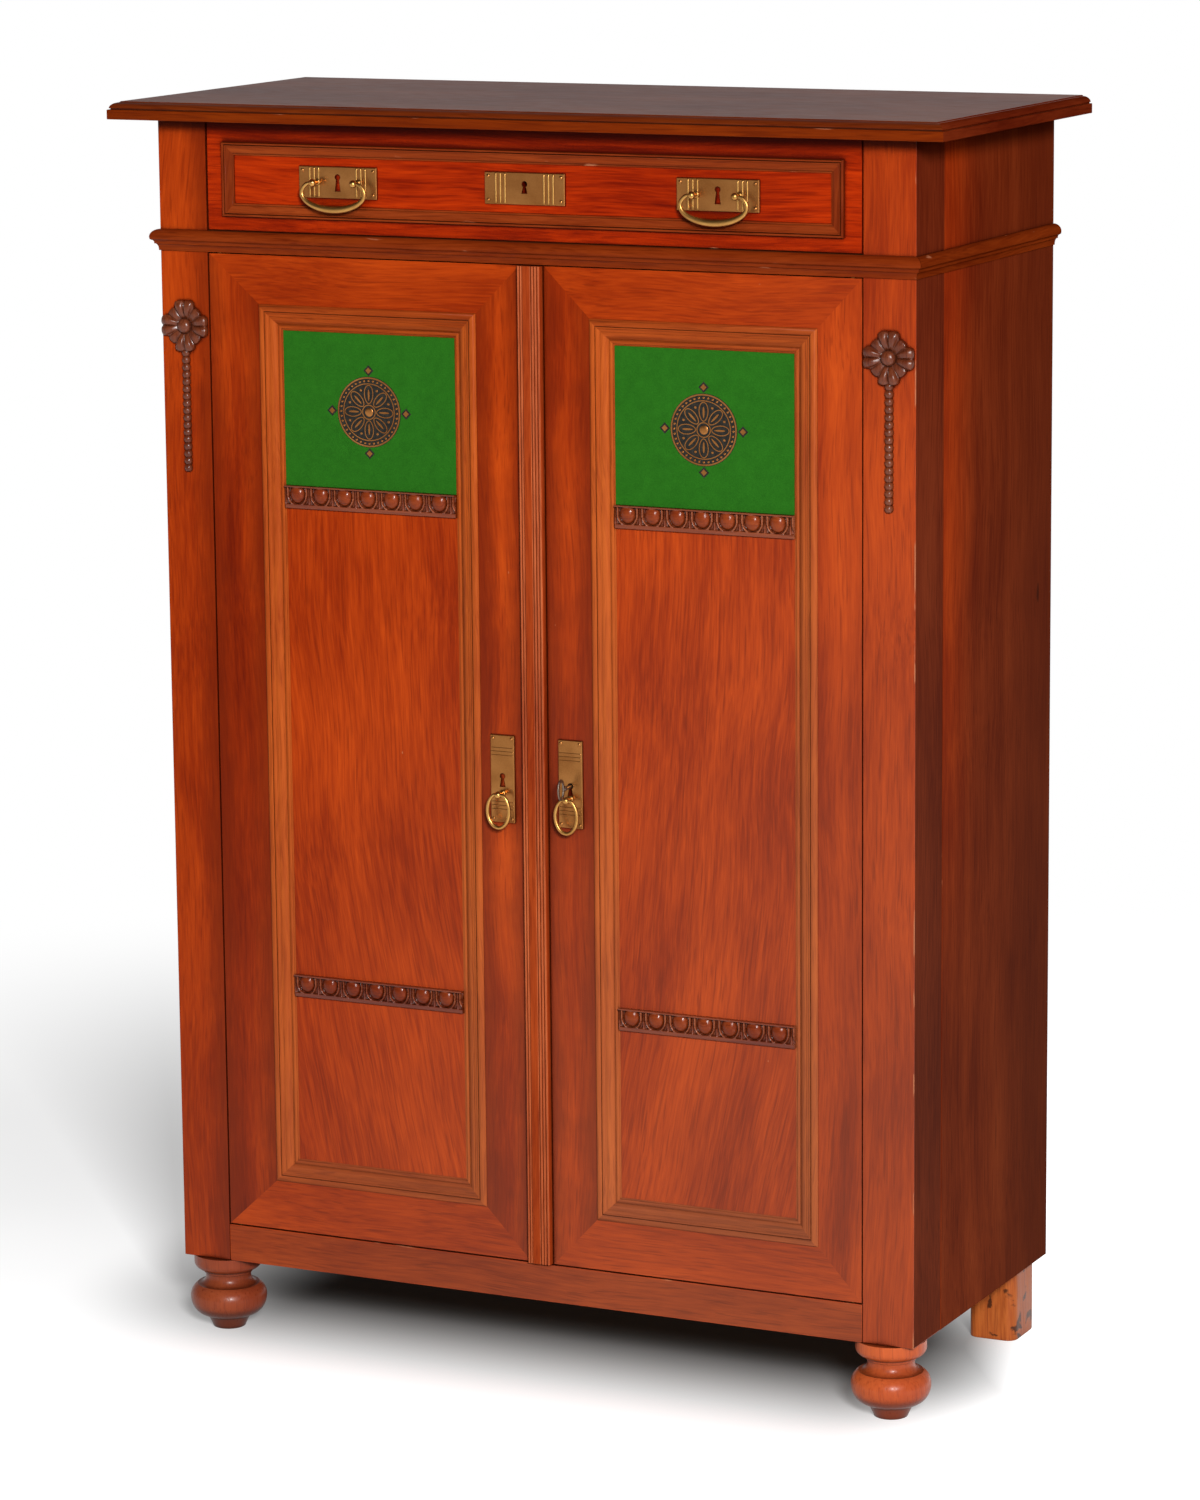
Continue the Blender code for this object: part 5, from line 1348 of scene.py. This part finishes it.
def rib(start, end, face, half, rise):
    """Half-round rib on a plate between two (x, z) points."""
    run = (Vector(end) - Vector(start)).normalized()
    across = Vector((-run.y, run.x))
    rings = []
    length = (Vector(end) - Vector(start)).length
    ends = ((0.0, 0.15), (half * 0.6, 0.75), (half * 1.5, 1.0))
    places = [*ends, *((length - along, swell) for along, swell in reversed(ends))]
    for along, swell in places:
        centre = Vector(start) + run * along
        ring = []
        for j in range(9):
            angle = pi * j / 8
            spot = centre + across * half * cos(angle) * max(0.6, swell)
            ring.append((spot.x, face - rise * swell * sin(angle), spot.y))
        rings.append(ring)
    return lofted(rings)


def ball_post(x, z, face, ball, stem):
    """Post out of a plate: a round foot, a stem and a ball."""
    foot = [(stem * 1.7, face + 0.0008)]
    for i in range(7):
        angle = pi * i / 12
        foot.append((stem * (1.05 + 0.65 * cos(angle)), face - stem * 0.9 * sin(angle)))
    start = sqrt(max(0.0, ball**2 - stem**2))
    angles = [acos(-start / ball) * (1 - i / 12) for i in range(12)]
    profile = [(ball * sin(a), POST_LINE - ball * cos(a)) for a in angles if ball * sin(a) > 0.0002]
    return turned([*foot, *profile], "Y", (x, z), 24)


class CABINET_OT_pulls(bpy.types.Operator):
    """Drawer pulls and escutcheon: ribbed plates, ball posts and bails"""

    bl_idname = "cabinet.pulls"
    bl_label = "Drawer pulls"

    def ribbed_plate(self, sizes, low, high, face, hole_rise, hole_length):
        """Plate with three ribs and two nails near each end, and a keyhole."""
        x, z = (low.x + high.x) / 2, (low.z + high.z) / 2
        width, height = high.x - low.x, high.z - low.z
        hole = keyhole(x, z + hole_rise, sizes.keyhole_radius, hole_length)
        bm = keyed(plate(x, z, width, height, face), hole, face)
        front = face - PLATE_THICK
        for sign in (-1, 1):
            for step in (-1, 0, 1):
                place = x + sign * width * 0.30 + step * sizes.rib_pitch
                ends = (place, z - height / 2 + 0.0012), (place, z + height / 2 - 0.0012)
                absorb(bm, rib(*ends, front + 0.0001, half=0.0013, rise=0.0011), 1)
            for turn in (-1, 1):
                spot = (x + sign * width * 0.453, z + turn * height * 0.37)
                absorb(bm, nail(*spot, front, sizes.nail_radius))
        return bm

    def bail(self, x, low):
        """Hanging bail: an oval bow, thick in the middle, whose ends turn in to pegs in the posts."""
        shoulder, half, thin, side, thick = 0.0315, 0.0395, 0.0017, 0.0024, 0.0040
        drop = PULL_LINE - low.z - thick
        lean = sqrt(1 - (shoulder / half) ** 2)
        tall = drop / (1 + lean)
        middle = PULL_LINE - tall * lean
        first = pi - asin(shoulder / half)
        steps = 56
        path = [(x - PEG, POST_LINE, PULL_LINE), (x - shoulder + 0.001, POST_LINE, PULL_LINE)]
        radii = [thin, thin]
        for i in range(1, steps):
            angle = -first + 2 * first * i / steps
            path.append((x + half * sin(angle), POST_LINE, middle - tall * cos(angle)))
            radii.append(side + (thick - side) * max(0.0, cos(angle)) ** 2)
        path += [(x + shoulder - 0.001, POST_LINE, PULL_LINE), (x + PEG, POST_LINE, PULL_LINE)]
        radii += [thin, thin]
        return wire(path, radii, FACING, closed=False, flatten=0.85)

    def execute(self, context):
        sizes = context.scene.cabinet_sizes
        finishes = ("aged_brass", "rubbed_brass")
        for side, _ in SIDES:
            name = f"{side}_pull_plate"
            low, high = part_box(name)
            face = high.y
            x = (low.x + high.x) / 2
            bm = self.ribbed_plate(sizes, low, high, face, 0.0060, sizes.pull_keyhole)
            for turn in (-1, 1):
                post = ball_post(x + turn * PEG, PULL_LINE, face - PLATE_THICK, ball=0.0044, stem=0.0024)
                absorb(bm, post, 1)
            dress(name, bm, "drawer", finishes)
            name = f"{side}_bail"
            bow = self.bail(x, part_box(name)[0])
            dress(name, bow, name, ("rubbed_brass",), 60.0)
        name = "drawer_escutcheon"
        low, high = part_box(name)
        bm = self.ribbed_plate(sizes, low, high, high.y, 0.0050, sizes.drawer_keyhole)
        dress(name, bm, "drawer", finishes)
        return {"FINISHED"}


class CABINET_OT_ring_pulls(bpy.types.Operator):
    """Door plates with lines, nails and keyholes, and the rings that hang on them"""

    bl_idname = "cabinet.ring_pulls"
    bl_label = "Ring pulls"

    def ring(self, x, z, low, high):
        """Hanging oval ring with a short straight top."""
        inset, half_top = 0.0018, 0.0052
        half = (high.x - low.x) / 2 - inset
        first = asin(half_top / half)
        tall = (z - low.z - inset) / (1 + cos(first))
        steps = 64
        path = []
        for i in range(steps + 1):
            angle = first + 2 * (pi - first) * i / steps
            path.append((x + half * sin(angle), POST_LINE, z + tall * (cos(angle) - cos(first))))
        radii = [0.0019 + 0.0003 * sin(pi * i / steps) for i in range(steps + 1)]
        return wire(path, radii, FACING, closed=True)

    def execute(self, context):
        sizes = context.scene.cabinet_sizes
        finishes = ("aged_brass", "rubbed_brass")
        for side, _ in SIDES:
            name = f"{side}_ring_plate"
            low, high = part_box(name)
            place = JOINT_PLACES[f"{side}_ring_swing"]
            x, z = place.x, (low.z + high.z) / 2
            width, height = high.x - low.x, high.z - low.z
            level = KEY_PLACE.z if side == "right" else KEY_PLACE.z + 0.005
            hole = keyhole(x, level, sizes.keyhole_radius, sizes.door_keyhole)
            bm = keyed(plate(x, z, width, height, high.y), hole, high.y)
            front = high.y - PLATE_THICK
            for end in (-1, 1):
                for step in range(3):
                    level = z + end * (height * 0.5 - 0.0150 - step * 0.0042)
                    ends = (x - width / 2 + 0.0012, level), (x + width / 2 - 0.0012, level)
                    absorb(bm, rib(*ends, front + 0.0001, half=0.0007, rise=0.0006))
                for turn in (-1, 1):
                    spot = (x + turn * width * 0.39, z + end * height * 0.46)
                    absorb(bm, nail(*spot, front, sizes.nail_radius))
            absorb(bm, ball_post(x, place.z, front, ball=0.0042, stem=0.0023), 1)
            dress(name, bm, f"{side}_door", finishes)
            name = f"{side}_ring"
            ring = self.ring(x, place.z, *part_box(name))
            dress(name, ring, name, ("rubbed_brass",), 60.0)
        return {"FINISHED"}


class CABINET_OT_key(bpy.types.Operator):
    """Key in the right door's lock"""

    bl_idname = "cabinet.key"
    bl_label = "Key"

    def execute(self, context):
        low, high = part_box("door_key")
        x, z = KEY_PLACE.x, KEY_PLACE.z
        steps, rod, half_depth, shaft, collar = 48, 0.0019, 0.0065, 0.0022, 0.0030
        half_height = high.z - z - rod
        bow = low.y + half_depth + rod
        path = []
        for i in range(steps):
            angle = 2 * pi * i / steps
            path.append((x, bow + half_depth * cos(angle), z + half_height * sin(angle)))
        key = wire(path, [rod] * steps, (1.0, 0.0, 0.0), closed=True, sides=14, flatten=0.62)
        neck = bow + half_depth
        shank = [(0.0012, neck - 0.001), (shaft, neck + 0.0005)]
        shank += [(collar, neck + 0.0020), (collar, neck + 0.0032)]
        shank += [(shaft, neck + 0.0042), (shaft, high.y - 0.0004), (0.0018, high.y)]
        absorb(key, turned(shank, "Y", (x, z), 20))
        bit = slab((x - 0.0012, high.y - 0.0055, z - 0.007), (x + 0.0012, high.y - 0.0005, z))
        absorb(key, bit)
        dress("door_key", key, "door_key", ("grey_steel",), 45.0)
        return {"FINISHED"}


class CABINET_OT_hardware(bpy.types.Operator):
    """Pivot hinges, locks and bolts"""

    bl_idname = "cabinet.hardware"
    bl_label = "Hinges and locks"

    def execute(self, context):
        fine = context.scene.cabinet_sizes.fine_arris
        for side, _ in SIDES:
            for end in ("bottom", "top"):
                board(f"{side}_{end}_pivot", f"{side}_door", ("aged_brass",), fine, 0.005)
        board("door_lock_case", "right_door", ("grey_steel",), fine, 0.02)
        board("drawer_lock_case", "drawer", ("grey_steel",), fine, 0.02)
        for name in ("door_lock_bolt", "drawer_lock_bolt", "left_top_bolt"):
            board(name, name, ("grey_steel",), fine, 0.004)
        return {"FINISHED"}


# Stage


class CABINET_OT_stage(bpy.types.Operator):
    """Pale floor, soft box, even light and the camera"""

    bl_idname = "cabinet.stage"
    bl_label = "Stage"

    def floor_material(self, studio):
        """Pale floor that keeps the cabinet's shadow, adds painted shadow and painted light round it, and
        fades to white away from it.
        """
        material, tree, shader = fresh_material("studio_floor")
        tree.nodes.remove(shader)
        place = node(tree, "TexCoord").outputs["Object"]
        reach = node(tree, "VectorMath", {0: place}, operation="LENGTH").outputs["Value"]
        white = between(tree, reach, studio.white_start, studio.white_end)
        # A painted shadow lies over a rectangle under the cabinet; the mask rises from 0 there to 1 away from
        # it
        middle = Vector((-0.03, 0.05, 0.0))
        half = Vector((0.35, 0.04, 1.0))
        folded = vectors(tree, "ABSOLUTE", vectors(tree, "SUBTRACT", place, middle))
        past = vectors(tree, "MAXIMUM", vectors(tree, "SUBTRACT", folded, half), (0.0, 0.0, 0.0))
        out_of_painted_shadow = node(tree, "VectorMath", {0: past}, operation="LENGTH").outputs["Value"]
        out_of_painted_shadow = between(tree, out_of_painted_shadow, 0.0, studio.lift_reach)
        # To the right of the cabinet there is no painted shadow, right up to it
        parts = node(tree, "SeparateXYZ", {0: place}).outputs
        outside = sums(tree, "MULTIPLY_ADD", parts["Y"], 0.35, parts["X"])
        out_of_painted_shadow = sums(tree, "MAXIMUM", out_of_painted_shadow, between(tree, outside, 0.40, 0.57))
        grain = noise(tree, place, 3.0, 2.0)
        pale = ramp(tree, grain, ((0.3, (0.86, 0.86, 0.86, 1.0)), (0.7, (0.89, 0.89, 0.89, 1.0))))
        # Painted shadow: under the cabinet the floor's colour is painted dark
        pale = mixed(tree, out_of_painted_shadow, (0.10, 0.097, 0.094, 1.0), pale)
        lit = node(tree, "BsdfDiffuse", {"Color": pale})
        lift = node(tree, "Emission", {"Color": WHITE})
        # Painted light and shade: the glow is weaker behind the cabinet and stronger in front of it and to
        # its right
        level = sums(tree, "MULTIPLY", between(tree, parts["Y"], 0.6, -1.2, 0.72, 1.50), studio.floor_lift)
        level = sums(tree, "MULTIPLY", between(tree, outside, 0.30, 0.60, 1.0, 2.6), level)
        tree.links.new(sums(tree, "MULTIPLY", out_of_painted_shadow, level), lift.inputs["Strength"])
        near = node(tree, "AddShader", {0: lit.outputs[0], 1: lift.outputs[0]})
        bounce = node(tree, "BsdfDiffuse", {"Color": (0.55, 0.55, 0.55, 1.0)})
        glow = node(tree, "Emission", {"Color": WHITE, "Strength": 1.0})
        faded = node(tree, "MixShader", {0: white, 1: near.outputs[0], 2: glow.outputs[0]})
        # Only the camera, reflections and refractions see this floor; other light meets a plain grey one
        path = node(tree, "LightPath").outputs
        seen = sums(tree, "MAXIMUM", path["Is Camera Ray"], path["Is Glossy Ray"])
        seen = sums(tree, "MAXIMUM", seen, path["Is Transmission Ray"])
        both = node(tree, "MixShader", {0: seen, 1: bounce.outputs[0], 2: faded.outputs[0]})
        tree.links.new(both.outputs[0], tree.nodes["Material Output"].inputs["Surface"])
        return material

    def lay_floor(self, scene, studio):
        """Large flat floor under the cabinet."""
        bm = bmesh.new()
        bmesh.ops.create_grid(bm, x_segments=16, y_segments=16, size=studio.floor_reach)
        mesh = bpy.data.meshes.new("floor")
        bm.to_mesh(mesh)
        bm.free()
        mesh.materials.append(self.floor_material(studio))
        floor = bpy.data.objects.new("floor", mesh)
        scene.collection.objects.link(floor)

    def light(self, scene, studio):
        """Even light, weaker overhead and in front, and one large soft box."""
        world = bpy.data.worlds.new("studio")
        world.use_nodes = True
        tree = world.node_tree
        way = node(tree, "SeparateXYZ", {0: node(tree, "TexCoord").outputs["Generated"]}).outputs
        level = between(tree, way["Z"], 0.05, 0.55, studio.sky_low, studio.sky_high)
        level = sums(tree, "MULTIPLY", level, between(tree, way["Y"], -0.5, 0.5, studio.sky_front, 1.0))
        sky = tree.nodes["Background"].inputs
        sky["Color"].default_value = WHITE
        tree.links.new(level, sky["Strength"])
        scene.world = world

        data = bpy.data.lights.new("key_lamp", "AREA")
        data.energy = studio.key_power
        data.size = studio.key_size
        lamp = bpy.data.objects.new("key_lamp", data)
        lamp.location = studio.key_place
        aim = Vector((0.0, 0.0, 0.7)) - Vector(studio.key_place)
        lamp.rotation_euler = aim.to_track_quat("-Z", "Y").to_euler()
        scene.collection.objects.link(lamp)

    def set_camera(self, scene, studio):
        """Camera at the photograph's viewing angle."""
        az, el, roll = studio.azimuth, studio.elevation, studio.roll
        back = Vector((sin(az) * cos(el), -cos(az) * cos(el), sin(el)))
        right = Vector((cos(az), sin(az), 0.0))
        up = back.cross(right)
        level = cos(roll) * right + sin(roll) * up
        upright = cos(roll) * up - sin(roll) * right
        turn = Matrix((level, upright, back)).transposed().to_4x4()
        data = bpy.data.cameras.new("camera")
        data.lens = studio.lens
        data.sensor_width = 36.0
        data.clip_end = 300.0
        camera = bpy.data.objects.new("camera", data)
        camera.matrix_world = Matrix.Translation(studio.place) @ turn
        scene.collection.objects.link(camera)
        scene.camera = camera

    def execute(self, context):
        scene = context.scene
        studio = scene.cabinet_studio
        scene.view_settings.view_transform = "Standard"
        self.lay_floor(scene, studio)
        self.light(scene, studio)
        self.set_camera(scene, studio)
        return {"FINISHED"}


GROUPS = {
    "cabinet_sizes": CabinetSizes,
    "cabinet_finishes": CabinetFinishes,
    "cabinet_studio": StudioSettings,
}

OPERATORS = (
    CABINET_OT_stage,
    CABINET_OT_top,
    CABINET_OT_carcass,
    CABINET_OT_mid_mouldings,
    CABINET_OT_feet,
    CABINET_OT_rosettes,
    CABINET_OT_door_frames,
    CABINET_OT_door_panels,
    CABINET_OT_green_fields,
    CABINET_OT_egg_rails,
    CABINET_OT_meeting_strip,
    CABINET_OT_drawer,
    CABINET_OT_pulls,
    CABINET_OT_ring_pulls,
    CABINET_OT_key,
    CABINET_OT_hardware,
)


class CABINET_PT_panel(bpy.types.Panel):
    """Sidebar panel with the cabinet's settings and pieces"""

    bl_idname = "CABINET_PT_panel"
    bl_label = "Highboard cabinet"
    bl_space_type = "VIEW_3D"
    bl_region_type = "UI"
    bl_category = "Cabinet"

    def draw(self, context):
        for name in GROUPS:
            group = getattr(context.scene, name)
            column = self.layout.column()
            for prop in group.__annotations__:
                column.prop(group, prop)
        for operator in OPERATORS:
            self.layout.operator(operator.bl_idname)


def register():
    """Add the settings, operators and panel to Blender."""
    for name, group in GROUPS.items():
        bpy.utils.register_class(group)
        setattr(bpy.types.Scene, name, PointerProperty(type=group))
    for operator in OPERATORS:
        bpy.utils.register_class(operator)
    bpy.utils.register_class(CABINET_PT_panel)


def unregister():
    """Take them out again."""
    bpy.utils.unregister_class(CABINET_PT_panel)
    for operator in reversed(OPERATORS):
        bpy.utils.unregister_class(operator)
    for name, group in GROUPS.items():
        delattr(bpy.types.Scene, name)
        bpy.utils.unregister_class(group)


def main():
    """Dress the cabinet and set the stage."""
    register()
    bpy.ops.cabinet.stage()
    bpy.ops.cabinet.top()
    bpy.ops.cabinet.carcass()
    bpy.ops.cabinet.mid_mouldings()
    bpy.ops.cabinet.feet()
    bpy.ops.cabinet.rosettes()
    bpy.ops.cabinet.door_frames()
    bpy.ops.cabinet.door_panels()
    bpy.ops.cabinet.green_fields()
    bpy.ops.cabinet.egg_rails()
    bpy.ops.cabinet.meeting_strip()
    bpy.ops.cabinet.drawer()
    bpy.ops.cabinet.pulls()
    bpy.ops.cabinet.ring_pulls()
    bpy.ops.cabinet.key()
    bpy.ops.cabinet.hardware()


if __name__ == "__main__":
    main()
